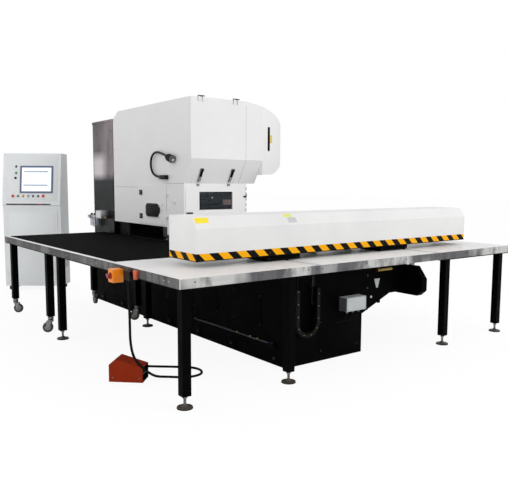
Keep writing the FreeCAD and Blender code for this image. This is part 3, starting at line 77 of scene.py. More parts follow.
class Paint:
    """The nodes of a new material or world. Patterns follow the object's own axes, in metres."""

    def __init__(self, name, store=bpy.data.materials):
        self.made = store.new(name)
        self.made.use_nodes = True
        self.tree = self.made.node_tree
        self.shader = self.tree.nodes.get("Principled BSDF")
        self.place = self.add("TexCoord", "Object")

    def feed(self, node, inputs):
        """Gives a node's inputs their values, or their links where a value is a socket."""
        for key, value in dict(inputs).items():
            if isinstance(value, bpy.types.NodeSocket):
                self.tree.links.new(value, node.inputs[key])
            else:
                node.inputs[key].default_value = value

    def add(self, kind, output, inputs=(), **settings):
        node = self.tree.nodes.new("ShaderNode" + kind)
        for key, value in settings.items():
            setattr(node, key, value)
        self.feed(node, inputs)
        return node.outputs[output]

    def spread(self, value, low, high, to_low=0, to_high=1):
        return self.add("MapRange", 0, enumerate((value, low, high, to_low, to_high)))

    def maths(self, operation, *values):
        return self.add("Math", 0, enumerate(values), operation=operation)

    def seen(self):
        """1 for a ray from the camera, straight or through a pane, and 0 for other light."""
        return self.maths("MAXIMUM", *(
            self.add("LightPath", kind) for kind in ("Is Camera Ray", "Is Transmission Ray")))

    def stretch(self, scale):
        return self.add("Mapping", 0, {"Vector": self.place, "Scale": scale})

    def along(self, axis, own, others):
        """The place scaled by one number along an axis and by another across it."""
        return self.stretch([own if each == axis else others for each in "XYZ"])

    def noise(self, scale, detail=4, rough=0.55, place=None):
        return self.add("TexNoise", "Fac", {
            "Vector": place or self.place, "Scale": scale, "Detail": detail, "Roughness": rough})

    def cells(self, scale, random=1, place=None):
        return self.add("TexVoronoi", "Distance", {
            "Vector": place or self.place, "Scale": scale, "Randomness": random})

    def under(self, value, limit):
        return self.maths("LESS_THAN", value, limit)

    def near(self, value, middle, reach):
        """1 where a value lies within reach of a middle."""
        return self.under(self.maths("ABSOLUTE", self.maths("SUBTRACT", value, middle)), reach)

    def blend(self, share, a, b):
        return self.add("Mix", 2, {0: share, 6: a, 7: b}, data_type="RGBA")

    def mottle(self, noise, a, b):
        """Two colours blended by a noise, whose values lie mostly within 0.3 to 0.7."""
        return self.blend(self.spread(noise, 0.3, 0.7), a, b)

    def axis(self, name):
        return self.add("SeparateXYZ", name, {0: self.place})

    def finish(self, colour, sheen, low, high, height=None, depth=0, gloss=0.5, **numbers):
        """The surface: roughness from low to high by a noise, and bumps of a depth in metres."""
        inputs = {"Base Color": colour, "Roughness": self.spread(sheen, 0.3, 0.7, low, high),
                  "Specular IOR Level": gloss}
        if height:
            inputs["Normal"] = self.add("Bump", 0, {
                "Strength": 1, "Distance": depth, "Height": height})
        inputs.update((key.replace("_", " "), value) for key, value in numbers.items())
        self.feed(self.shader, inputs)
        return self.made


def sprayed(name, colour, rough=0.38, cloud=0.05, grain=700, peel=0.00005, dust=0, dust_top=0.4,
            **numbers):
    """Sprayed paint: faint clouds, orange peel, small scuffs, and dust low down."""
    p = Paint(name)
    body = p.mottle(p.noise(2.3, 5), scaled(colour, 1 - cloud), scaled(colour, 1 + cloud))
    scuff = p.spread(p.noise(38, 8, 0.7), 0.68, 0.8, 0, 0.35)
    body = p.blend(scuff, body, scaled(colour, 0.8))
    if dust:
        low = p.spread(p.axis("Z"), 0, dust_top, dust, 0)
        body = p.blend(p.maths("MULTIPLY", low, p.noise(9, 6)), body, tone(120, 112, 100))
    return p.finish(
        body, p.noise(11, 6), rough - 0.06, rough + 0.08, p.noise(grain, 2), peel, **numbers)


def brushed(name, colour, along="X", rough=0.32, patch=0.35, metallic=1):
    """Brushed metal: fine lines along one axis and slow bright and dark patches."""
    p = Paint(name)
    lines = p.noise(1, 6, 0.7, p.along(along, 3, 260))
    slow = p.noise(2.6, 3, 0.5, p.along(along, 1, 0.3))
    body = p.blend(p.spread(slow, 0.36, 0.64), scaled(colour, 1 - patch), scaled(colour, 1 + patch))
    body = p.blend(p.spread(lines, 0.3, 0.7, 0, 0.5), body, scaled(colour, 0.72))
    return p.finish(body, lines, rough - 0.08, rough + 0.1, lines, 0.00004, Metallic=metallic)


def trim_painted_reflections(name, along, share=1):
    """A bright folded edge whose reflections are painted into its colour as light and dark patches;
    a share below 1 darkens them all for a painted shade copy.
    """
    p = Paint(name)
    slow = p.stretch({"X": (1.5, 1, 0.6), "Y": (1, 1.5, 0.6)}[along])
    pale, dark, darkest, line = (scaled(each, share) for each in (
        (212, 212, 210), (96, 96, 98), (60, 60, 62), (120, 120, 122)))
    body = p.blend(p.spread(p.noise(2.2, 2, 0.5, slow), 0.42, 0.58), dark, pale)
    body = p.blend(p.spread(p.noise(9, 2, 0.5, slow), 0.5, 0.7, 0, 0.7), body, darkest)
    lines = p.noise(1, 6, 0.7, p.along(along, 4, 200))
    body = p.blend(p.spread(lines, 0.3, 0.7, 0, 0.4), body, line)
    return p.finish(body, lines, 0.3, 0.44, lines, 0.00004, Metallic=0.3, gloss=0.2)


def moulded(name, colour, rough=0.45, grain=450, peel=0.00008, **numbers):
    """Moulded plastic or rubber with a fine leather-like grain."""
    p = Paint(name)
    return p.finish(p.mottle(p.noise(7, 4), scaled(colour, 0.9), scaled(colour, 1.12)),
                    p.noise(30, 4), rough - 0.05, rough + 0.07, p.cells(grain), peel, **numbers)


def striped(name):
    """White paint whose lowest band carries slanted yellow and black bars, over a near-black bottom
    strip that is painted shadow of the gap under the cover.
    """
    pitch, start, yellow_share, slant = 0.1745, 0.112, 0.52, 1.05
    band_top, shadow_band_top = 1.0405, 0.9865
    p = Paint(name)
    x, y, z = p.axis("X"), p.axis("Y"), p.axis("Z")
    run = p.maths("ADD", p.maths("SUBTRACT", x, y), p.maths("MULTIPLY", z, slant))
    phase = p.maths("FRACT", p.maths("DIVIDE", p.maths("ADD", run, start), pitch))
    tape = p.blend(p.under(phase, yellow_share), tone(6, 4, 6), tone(252, 178, 12))
    tape = p.blend(p.spread(p.noise(30, 6), 0.62, 0.75, 0, 0.25), tape, tone(150, 140, 110))
    white = p.mottle(p.noise(1.7, 5), tone(226, 226, 226), tone(236, 236, 235))
    # The lowest strip of the cover is near black: painted shadow of the gap beneath it.
    body = p.blend(p.under(z, shadow_band_top), p.blend(p.under(z, band_top), white, tape), tone(8, 8, 9))
    return p.finish(body, p.noise(9, 5), 0.33, 0.46, p.noise(700, 2), 0.00005, gloss=0.1)


def bristles(name):
    """Black brush tufts in even rows, each tuft a small dark dome whose edge is darker still:
    painted shade in the gaps between tufts.
    """
    p = Paint(name)
    tufts = p.cells(95, 0.12, p.stretch((1, 1, 0)))
    hair = p.noise(900, 3)
    # Darker away from each tuft's middle: painted shade between the tufts.
    body = p.blend(p.spread(tufts, 0.1, 0.6), tone(11, 12, 13), tone(2, 3, 3))
    height = p.maths("ADD", p.maths("MULTIPLY", tufts, -1), p.maths("MULTIPLY", hair, 0.3))
    return p.finish(body, hair, 0.72, 0.95, height, 0.003, gloss=0.02)


def display(name):
    """A lit screen with plain bars and no words."""
    p = Paint(name)
    x, y = p.axis("X"), p.axis("Y")
    lines = p.maths("MAXIMUM", p.near(y, 0.465, 0.01), p.near(y, 0.265, 0.01))
    dashes = p.maths("GREATER_THAN", p.maths("FRACT", p.maths("MULTIPLY", x, 70)), 0.22)
    mark = p.maths("MULTIPLY", p.maths("MULTIPLY", lines, p.near(x, 0.478, 0.175)), dashes)
    paper = p.mottle(p.noise(6, 3), tone(228, 240, 248), tone(246, 250, 252))
    body = p.blend(mark, paper, tone(110, 118, 140))
    return p.finish(body, p.noise(40, 3), 0.12, 0.2, Emission_Color=body, Emission_Strength=0.35)


def table_deck(name):
    """A black deck plate with a white strip along its front."""
    p = Paint(name)
    cloud = p.noise(3, 5)
    black = p.mottle(cloud, tone(4, 5, 6), tone(7, 8, 9))
    white = p.mottle(cloud, tone(226, 226, 226), tone(236, 236, 235))
    return p.finish(p.blend(p.under(p.axis("Y"), -1.48), black, white), p.noise(9, 5), 0.36, 0.5,
                    p.noise(700, 2), 0.00005, gloss=0.15)


def see_through(name, colour, rough=0.06, alpha=0.35):
    """A pane that lets part of the light through."""
    p = Paint(name)
    body = p.mottle(p.noise(5, 3), scaled(colour, 0.85), scaled(colour, 1))
    return p.finish(body, p.noise(25, 4), rough, rough + 0.08, Alpha=alpha, IOR=1.5)


def cabinet_painted_reflection(name):
    """Dark polished sheet, near black below 1.6 m, with a painted reflection above: a pale streaked
    tone and a brighter band near its top.
    """
    p = Paint(name)
    y, z = p.axis("Y"), p.axis("Z")
    streak = p.noise(1, 5, 0.6, p.stretch((5, 5, 2.2)))
    # Painted reflection: a pale tone, brighter at lower y, broken by darker streaks.
    pale = p.blend(p.spread(y, 1.36, 1.72, 0, 0.75), tone(152, 140, 144), tone(82, 73, 77))
    pale = p.blend(p.spread(streak, 0.42, 0.66, 0, 0.6), pale, tone(58, 52, 55))
    # glow is a brighter painted reflection band high on the sheet, over y 1.46 to 1.93.
    glow = p.maths("MULTIPLY", p.spread(z, 1.86, 2, 1, 0), p.spread(y, 1.46, 1.66))
    glow = p.maths("MULTIPLY", glow, p.spread(y, 1.88, 1.93, 1, 0.15))
    pale = p.blend(glow, pale, tone(214, 206, 208))
    return p.finish(p.blend(p.spread(z, 1.6, 1.7), tone(4, 4, 6), pale), p.noise(8, 5), 0.26,
                    0.4, p.noise(500, 2), 0.00005, gloss=0.18)


WHITE = sprayed("white_enamel", (231, 230, 230), 0.36, 0.02, dust=0.06, dust_top=1.2)
# The console's enamel made darker for its sides and back: painted shade.
CONSOLE_SHADED = sprayed("console_painted_shade", (196, 200, 203), 0.4, 0.03)
CONSOLE = sprayed("console_enamel", (228, 231, 232), 0.36, 0.02)
BLACK = sprayed("black_enamel", (3, 3, 4), 0.5, 0.2, dust=0.004, gloss=0.03)
BASE = sprayed("base_enamel", (2, 2, 3), 0.55, 0.25, dust=0.006, gloss=0.03)
# Near black; on the ram housing, seen through the tool window, this also stands in for the shade
# inside the guard: partly painted shade.
IRON = sprayed("machine_black", (10, 11, 12), 0.5, 0.1, gloss=0.1)
TOP = sprayed("table_strip", (233, 232, 232), 0.34, 0.03)
DECK = table_deck("machine_deck")
CABINET_PAINTED_REFLECTION = cabinet_painted_reflection("dark_cabinet_painted_reflection")
STRIPES = striped("striped_cover")
BRISTLE = bristles("brush_tufts")
# Trim steel: painted reflections on the front, a darker copy for painted shade on the faces turned
# left and right, and a brighter brushed copy for a painted highlight on the top lip.
TRIM = trim_painted_reflections("front_trim_painted_reflections", "X")
TRIM_SHADED = trim_painted_reflections("side_trim_painted_shade", "Y", 0.26)
TRIM_HIGHLIGHT = brushed("trim_painted_highlight", (214, 214, 212), "Y", 0.3, 0.1)
BRIGHT = brushed("bright_hook", (206, 206, 208), "X", 0.34, 0.1, 0.6)
STEEL = brushed("ground_steel", (186, 187, 188), "X", 0.26, 0.12)
STEEL_LONG = brushed("ground_steel_long", (186, 187, 188), "Y", 0.26, 0.12)
ZINC = brushed("zinc_plate", (150, 152, 152), "Z", 0.38, 0.25)
OILED = brushed("oiled_steel", (74, 76, 80), "Z", 0.36, 0.2)
ALU = brushed("cast_aluminium", (186, 186, 192), "Z", 0.45, 0.15)
BRASS = brushed("brass", (190, 160, 96), "X", 0.35, 0.2)
RUBBER = moulded("black_rubber", (8, 9, 9), 0.6, gloss=0.12)
PLASTIC = moulded("black_plastic", (10, 11, 12), 0.42, gloss=0.2)
CHAIN = moulded("chain_plastic", (9, 9, 11), 0.5, gloss=0.12)
PINKISH = moulded("inner_block", (176, 140, 140))
TYRE = moulded("grey_tyre", (72, 69, 58), 0.7, 300)
FOOT = sprayed("cast_foot", (66, 58, 50), 0.5, 0.15, 300, 0.0002)
GREY = moulded("grey_plastic", (186, 190, 192), 0.4)
GREY_DARK = moulded("dark_grey_plastic", (84, 88, 92), 0.4)
RED = moulded("red_plastic", (196, 26, 40), 0.28, 900, 0.00003)
# A darker copy of the stop red for the box's stop button: painted shade, as the button sits on the
# box's shaded left face.
RED_SHADED = moulded("stop_red_painted_shade", (150, 22, 20), 0.25, 900, 0.00003)
GREEN = moulded("green_plastic", (30, 150, 90), 0.3, 900, 0.00003)
YELLOW = moulded("amber_plastic", (226, 160, 50), 0.3, 900, 0.00003)
ORANGE = moulded("orange_box", (250, 138, 12), 0.35, 600, 0.00005)
WEDGE = moulded("orange_plug", (205, 84, 44), 0.4, 600, 0.00005)
HOOD = sprayed("pedal_enamel", (140, 40, 6), 0.5, 0.12, 500, 0.00008, gloss=0.12)
TREAD = sprayed("treadle_enamel", (72, 78, 88), 0.5, 0.1)
BEZEL = sprayed("screen_bezel", (84, 100, 132), 0.35, 0.06)
SEAM = sprayed("panel_seam", (120, 120, 122), 0.5)
PATCH = sprayed("yellow_patch", (250, 226, 30), 0.4, 0.04)
PATCH_PALE = sprayed("pale_patch", (226, 228, 120), 0.4, 0.04)
PATCH_GREY = sprayed("grey_patch", (198, 196, 198), 0.4)
AMBER_PATCH = sprayed("amber_patch", (226, 184, 84), 0.4)
# The window pane's dark tint is painted shade over the inside of the guard.
GLASS = see_through("window_pane", (60, 66, 70), 0.05, 0.3)
BOWL = see_through("bowl_glass", (170, 180, 190), 0.05, 0.45)
# A pale lens, partly a painted highlight on the work lamp's face.
LENS = see_through("lamp_lens", (235, 238, 240), 0.15, 0.75)
SCREEN = display("screen_face")
TURRET = brushed("turret_steel", (96, 98, 102), "Z", 0.34, 0.15)
DIE = brushed("die_steel", (140, 142, 146), "Z", 0.28, 0.1)


# --- modelling

def settle(obj, angle=32):
    """Round shading with crisp edges above an angle."""
    mesh = obj.data
    mesh.polygons.foreach_set("use_smooth", [True] * len(mesh.polygons))
    mesh.set_sharp_from_angle(angle=radians(angle))


def bake_modifiers(obj):
    depsgraph = bpy.context.evaluated_depsgraph_get()
    mesh = bpy.data.meshes.new_from_object(obj.evaluated_get(depsgraph))
    obj.modifiers.clear()
    obj.data = mesh


def placed(name, data):
    """A new object in the scene."""
    obj = bpy.data.objects.new(name, data)
    scene.collection.objects.link(obj)
    return obj


def from_bmesh(name, bm, mats):
    mesh = bpy.data.meshes.new(name)
    bm.to_mesh(mesh)
    bm.free()
    for mat in mats:
        mesh.materials.append(mat)
    return placed(name, mesh)


def round_edges(bm, width, segments, angle):
    """Bevels the edges that are sharper than an angle."""
    edges = [e for e in bm.edges if e.is_manifold and e.calc_face_angle(0) > radians(angle)]
    bmesh.ops.bevel(bm, geom=edges, offset=width, segments=segments, affect="EDGES",
                    clamp_overlap=True, profile=0.5)


def turned(axis):
    return Vector(UP).rotation_difference(Vector(axis)).to_matrix().to_4x4()


def seat(at, degrees, axis="Z"):
    return Matrix.Translation(at) @ Matrix.Rotation(radians(degrees), 4, axis)


def circle(count):
    return [2 * pi * i / count for i in range(count)]


def steps(start, step, count):
    return [start + step * i for i in range(count)]


def crossings(at):
    """A point, or all the crossings where one of its numbers is a row of numbers."""
    rows = [row if isinstance(row, tuple) else (row,) for row in at]
    return [Vector(point) for point in product(*rows)]


class Build:
    """Many small bevelled solids gathered into one mesh, laid out in their place's axes."""

    def __init__(self, place=None):
        self.bm = bmesh.new()
        self.mats = []
        self.place = place

    def take(self, part, mat, bevel=0, angle=30):
        if bevel:
            round_edges(part, bevel, 2, angle)
        if self.place is not None:
            part.transform(self.place)
        if mat not in self.mats:
            self.mats.append(mat)
        for face in part.faces:
            face.material_index = self.mats.index(mat)
        mesh = bpy.data.meshes.new("part")
        part.to_mesh(mesh)
        part.free()
        self.bm.from_mesh(mesh)
        bpy.data.meshes.remove(mesh)

    def box(self, low, high, mat, bevel=0.001):
        part = bmesh.new()
        bmesh.ops.create_cube(part, size=1)
        low, high = Vector(low), Vector(high)
        part.transform(Matrix.Translation((low + high) / 2) @ Matrix.Diagonal((*(high - low), 1)))
        self.take(part, mat, bevel)

    def rod(self, start, end, radius, mat, sides=24, bevel=0, radius_2=None):
        start, end = Vector(start), Vector(end)
        part = bmesh.new()
        bmesh.ops.create_cone(
            part, cap_ends=True, segments=sides, radius1=radius,
            radius2=radius if radius_2 is None else radius_2, depth=(end - start).length)
        part.transform(Matrix.Translation((start + end) / 2) @ turned(end - start))
        self.take(part, mat, bevel, 50 if sides > 8 else 30)

    def post(self, x, y, low, high, *rest, **more):
        """An upright rod."""
        self.rod((x, y, low), (x, y, high), *rest, **more)

    def ring(self, centre, radius, thick, mat, sides=40, small=8, axis=UP):
        """A torus round an axis."""
        part = bmesh.new()
        place = Matrix.Translation(centre) @ turned(axis)
        loops = []
        for a in circle(sides):
            loops.append([])
            for b in circle(small):
                r = radius + thick * cos(b)
                spot = Vector((r * cos(a), r * sin(a), thick * sin(b)))
                loops[-1].append(part.verts.new(place @ spot))
        for i, j in product(range(sides), range(small)):
            k, m = (i + 1) % sides, (j + 1) % small
            part.faces.new((loops[i][j], loops[k][j], loops[k][m], loops[i][m]))
        self.take(part, mat)

    def prism(self, axis, points, low, high, mat, bevel=0.001):
        """A straight extrusion of an outline given in the other two axes."""
        order = {"X": (2, 0, 1), "Y": (0, 2, 1), "Z": (0, 1, 2)}[axis]
        part = bmesh.new()
        near, far = [[part.verts.new([(*point, level)[k] for k in order]) for point in points]
                     for level in (low, high)]
        part.faces.new(near)
        part.faces.new(far)
        for i in range(len(points)):
            k = (i + 1) % len(points)
            part.faces.new((near[i], near[k], far[k], far[i]))
        bmesh.ops.recalc_face_normals(part, faces=part.faces)
        self.take(part, mat, bevel)

    def bolt(self, where, out, size, mat):
        """Hexagon heads on washers, standing out from a surface."""
        out = Vector(out).normalized()
        for at in crossings(where):
            self.rod(at - out * 0.001, at + out * size * 0.18, size * 1.25, mat, 20)
            self.rod(at, at + out * size * 0.9, size * 0.85, mat, 6, bevel=size * 0.08)

    def screw(self, where, out, size, mat):
        """Low round screw heads."""
        out = Vector(out).normalized()
        for at in crossings(where):
            self.rod(at - out * 0.001, at + out * size * 0.45, size, mat, 16, size * 0.1,
                     size * 0.7)

    def done(self, name, slot=None, body="frame", angle=32):
        obj = from_bmesh(name, self.bm, self.mats)
        settle(obj, angle)
        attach(obj, body)
        return obj

    def stand_for(self, node, angle=32):
        """The finished mesh takes the place of one CAD node."""
        body = frame["nodes"][node]["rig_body"]
        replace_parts(self.done(node + "_dressed", SLOTS[node], body, angle), node)


def dress(name, mat, width=0.003, paint=None, extra=(), segments=2, drop=None):
    """A CAD node's own shape with its edges rounded, standing for that node."""
    source = frame["nodes"][name]
    bm = bmesh.new()
    bm.from_mesh(source.data)
    if drop:
        gone = [f for f in bm.faces if drop(f.calc_center_median())]
        bmesh.ops.delete(bm, geom=gone, context="FACES")
    bmesh.ops.remove_doubles(bm, verts=bm.verts, dist=1e-5)
    bmesh.ops.dissolve_limit(bm, angle_limit=radians(1.5), verts=bm.verts, edges=bm.edges)
    bmesh.ops.recalc_face_normals(bm, faces=bm.faces)
    round_edges(bm, width, segments, 26)
    for face in bm.faces:
        face.material_index = int(paint(face.calc_center_median(), face.normal)) if paint else 0
    obj = from_bmesh(name + "_dressed", bm, (mat, *extra))
    settle(obj)
    obj.modifiers.new("even", "WEIGHTED_NORMAL").keep_sharp = True
    bake_modifiers(obj)
    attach(obj, source["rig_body"])
    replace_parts(obj, name)


def coat(names, mat):
    """A finish straight on CAD nodes whose shape stays."""
    for name in names.split():
        obj = frame["nodes"][name]
        obj.data.materials.clear()
        obj.data.materials.append(mat)
        settle(obj)


def tube(name, points, radius, around, along):
    """A smooth round tube through points, with its steps around and along."""
    curve = bpy.data.curves.new(name, "CURVE")
    curve.dimensions = "3D"
    curve.bevel_depth = radius
    curve.bevel_resolution = around
    curve.use_fill_caps = True
    spline = curve.splines.new("NURBS")
    spline.points.add(len(points) - 1)
    for point, at in zip(spline.points, points):
        point.co = (*at, 1)
    spline.order_u = 3
    spline.use_endpoint_u = True
    spline.resolution_u = along
    return placed(name, curve)


def hose(name, points, radius, mat, body="frame", around=3):
    """A fixed hose or wire, as a mesh."""
    temp = tube(name, points, radius, around, 6)
    mesh = bpy.data.meshes.new_from_object(temp)
    bpy.data.objects.remove(temp)
    obj = placed(name, mesh)
    mesh.materials.clear()
    mesh.materials.append(mat)
    settle(obj, 60)
    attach(obj, body)


# --- camera and cable

def make_camera():
    """The camera solved from the photo: 508 pixels wide, with a focal length of 612.88 pixels."""
    lens = bpy.data.cameras.new("photo_camera")
    lens.sensor_fit = "HORIZONTAL"
    lens.sensor_width = 36
    lens.lens = 612.88 / 508 * 36
    lens.clip_end = 200
    camera = placed("photo_camera", lens)
    camera.location = (-3.76989, -6.12757, 1.56555)
    turn = Matrix.Rotation(-0.64816, 4, "Z") @ Matrix.Rotation(pi / 2 - 0.10772, 4, "X")
    camera.rotation_euler = (turn @ Matrix.Rotation(0.00424, 4, "Z")).to_euler()
    scene.camera = camera


CABLE_ROUTE = [
    (-1.735, -1.856, 0.83), (-1.735, -1.856, 0.7), (-1.731, -1.853, 0.5),
    (-1.735, -1.862, 0.34), (-1.722, -1.892, 0.225), (-1.662, -1.915, 0.145),
    (-1.58, -1.898, 0.075), (-1.5, -1.853, 0.028), (-1.408, -1.853, 0.01),
    (-1.335, -1.925, 0.01), (-1.245, -1.975, 0.01), (-1.142, -1.955, 0.01),
    (-1.09, -1.865, 0.01), (-1.105, -1.765, 0.01), (-1.18, -1.69, 0.01),
    (-1.27, -1.61, 0.01), (-1.365, -1.533, 0.01), (-1.455, -1.461, 0.013),
    (-1.562, -1.4645, 0.02), (-1.62866, -1.53597, 0.025), (-1.66404, -1.57401, 0.025),
]


def make_cable():
    lead = tube("pedal_lead", CABLE_ROUTE, 0.01, 4, 8)
    lead.data.materials.append(RUBBER)
    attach(lead, "frame")
    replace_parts(lead, "pedal_cable")


# --- console

CONSOLE_PLACE = seat((-1.298, 3.201, 0), -37)
LEAN = atan(0.12 / 0.725)
PANEL_PLACE = (
    CONSOLE_PLACE @ Matrix.Translation((0, 0, 1.275)) @ Matrix.Rotation(pi / 2 - LEAN, 4, "X"))
STOPS = (0, 6)


def push_at(i):
    """The middle of one of the seven places in the row of pushes."""
    return 0.153 + 0.0732 * i, 0.106


def rounded(x0, x1, y0, y1, radius, steps=5):
    """The outline of a rectangle with round corners."""
    points = []
    x0, x1, y0, y1 = x0 + radius, x1 - radius, y0 + radius, y1 - radius
    for cx, cy, start in ((x1, y1, 0), (x0, y1, 90), (x0, y0, 180), (x1, y0, 270)):
        for i in range(steps + 1):
            a = radians(start + 90 * i / steps)
            points.append((cx + radius * cos(a), cy + radius * sin(a)))
    return points


def make_console():
    inverse = CONSOLE_PLACE.inverted()

    def side(at, normal):
        x, y, z = inverse @ at
        return 1 if z < 0.0605 else 2 if x > 0.835 or x < 0.005 else 0

    # The console's side faces take the darker copy of its enamel: painted shade.
    dress("console_cabinet", CONSOLE, 0.006, side, (PLASTIC, CONSOLE_SHADED), 3)
    dress("console_door", CONSOLE)
    dress("console_screen", BEZEL)
    plate = Build(PANEL_PLACE)
    plate.prism("Z", rounded(0.045, 0.795, 0.03, 0.7, 0.022), 0, 0.0022, CONSOLE, 0.0008)
    panel = plate.done("console_panel", "white_paint")
    holes = Build(PANEL_PLACE)
    for i in (0, 1, 2, 6):
        holes.post(*push_at(i), -0.02, 0.02, 0.0125 if i in STOPS else 0.015, CONSOLE, 36)
    cut_away(panel, holes.done("hole_tool"))

    face = Build(PANEL_PLACE)
    face.screw(((0.03, 0.81), (0.02, 0.36, 0.715), 0), UP, 0.005, ZINC)
    for i in range(7):
        wide, mat = (0.0205, YELLOW) if i in STOPS else (0.0165, ZINC)
        face.ring((*push_at(i), 0.0022), wide, 0.0022, mat, 32)
    for x, y, mat in ((0.19, 0.54, GREY_DARK), (0.19, 0.445, GREEN), (0.183, 0.372, PLASTIC)):
        face.post(x, y, 0.002, 0.0155, 0.015, mat, 28, 0.001, 0.0135)
        face.ring((x, y, 0.003), 0.0165, 0.0018, ZINC, 32)
    for i in (4, 5):
        x, y = push_at(i)
        face.post(x, y, 0.002, 0.0145, 0.013, GREY_DARK, 28, 0.001, 0.0118)
        face.box((x - 0.002, 0.096, 0.014), (x + 0.002, 0.116, 0.0205), PLASTIC, 0.0008)
    face.done("console_face", "white_paint")

    flat = Build()
    flat.box((0.275, 0.175, 0.0058), (0.705, 0.525, 0.0072), SCREEN, 0.0003)
    screen = from_bmesh("console_display", flat.bm, flat.mats)
    screen.matrix_world = PANEL_PLACE
    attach(screen, "frame")

    body = Build(CONSOLE_PLACE)
    # A black strip along the foot of the panel: painted shadow of the panel's overhang.
    body.box((0.055, -0.0015, 1.252), (0.7, 0.004, 1.2705), PLASTIC)
    body.box((0.52, -0.0035, 1.256), (0.585, -0.001, 1.264), RED, 0.0008)
    body.box((0.65, -0.004, 1.254), (0.695, -0.001, 1.268), GREY_DARK)
    for z in steps(0.32, 0.022, 14):
        for x in (0.8395, -0.0025):
            body.box((x, 0.14, z), (x + 0.003, 0.34, z + 0.007), GREY_DARK)
    # Back panel in the darker console copy: painted shade.
    body.box((0.06, 0.3895, 0.12), (0.78, 0.393, 1.9), CONSOLE_SHADED, 0.0015)
    body.ring((0.42, 0.3935, 1.45), 0.085, 0.004, ZINC, 48, axis=BACK)
    for radius in (0.03, 0.05, 0.068):
        body.ring((0.42, 0.393, 1.45), radius, 0.002, ZINC, 40, 6, BACK)
    body.screw(((0.08, 0.76), 0.393, (0.16, 1, 1.86)), BACK, 0.007, ZINC)
    for z in (0.67, 0.73):
        body.rod((0.7525, 0.0005, z), (0.7525, -0.003, z), 0.009, ZINC, bevel=0.0008)
    body.done("console_fittings", "white_paint")

    door = Build(CONSOLE_PLACE)
    door.prism("Y", rounded(0.085, 0.755, 0.15, 1.14, 0.012), 0.0092, 0.012, CONSOLE, 0.0008)
    door.done("console_door_panel", "white_paint", "console_door")
    for i, label, mat in ((0, "stop_push", RED), (1, "start_push", GREEN),
                          (2, "reset_push", YELLOW), (6, "console_stop", RED)):
        push = Build(PANEL_PLACE)
        if i in STOPS:
            push.post(*push_at(i), 0.0004, 0.014, 0.011, mat, 32)
            push.post(*push_at(i), 0.011, 0.026, 0.018, mat, 40, 0.0045, 0.0172)
        else:
            push.post(*push_at(i), 0.0004, 0.0143, 0.014, mat, 40, 0.0022, 0.0132)
        push.stand_for(label, 50)
    dress("key_switch", GREY, 0.0008)


# --- machine

SLOPE_OUT = (0, -0.866, -0.5)


def slope(along, out):
    """A point (y, z) on the hood's slope: a share of its length down, millimetres off it."""
    return (-0.62 + 0.15 * along - out * 0.000866, 1.83 - 0.259 * along - out * 0.0005)


def worn(points, rounds):
    """A line through points whose inner corners are cut again and again."""
    for _ in range(rounds):
        new = [points[0]]
        for (x0, z0), (x1, z1) in zip(points, points[1:]):
            new += [(0.75 * x0 + 0.25 * x1, 0.75 * z0 + 0.25 * z1),
                    (0.25 * x0 + 0.75 * x1, 0.25 * z0 + 0.75 * z1)]
        points = new + [points[-1]]
    return points


def cut_away(obj, tool):
    """Takes the tool's shape out of a finished piece, and then the tool itself."""
    trim = obj.modifiers.new("slot", "BOOLEAN")
    trim.operation = "DIFFERENCE"
    trim.solver = "EXACT"
    trim.object = tool
    trim.material_mode = "TRANSFER"
    bake_modifiers(obj)
    bpy.data.objects.remove(tool)
    settle(obj)


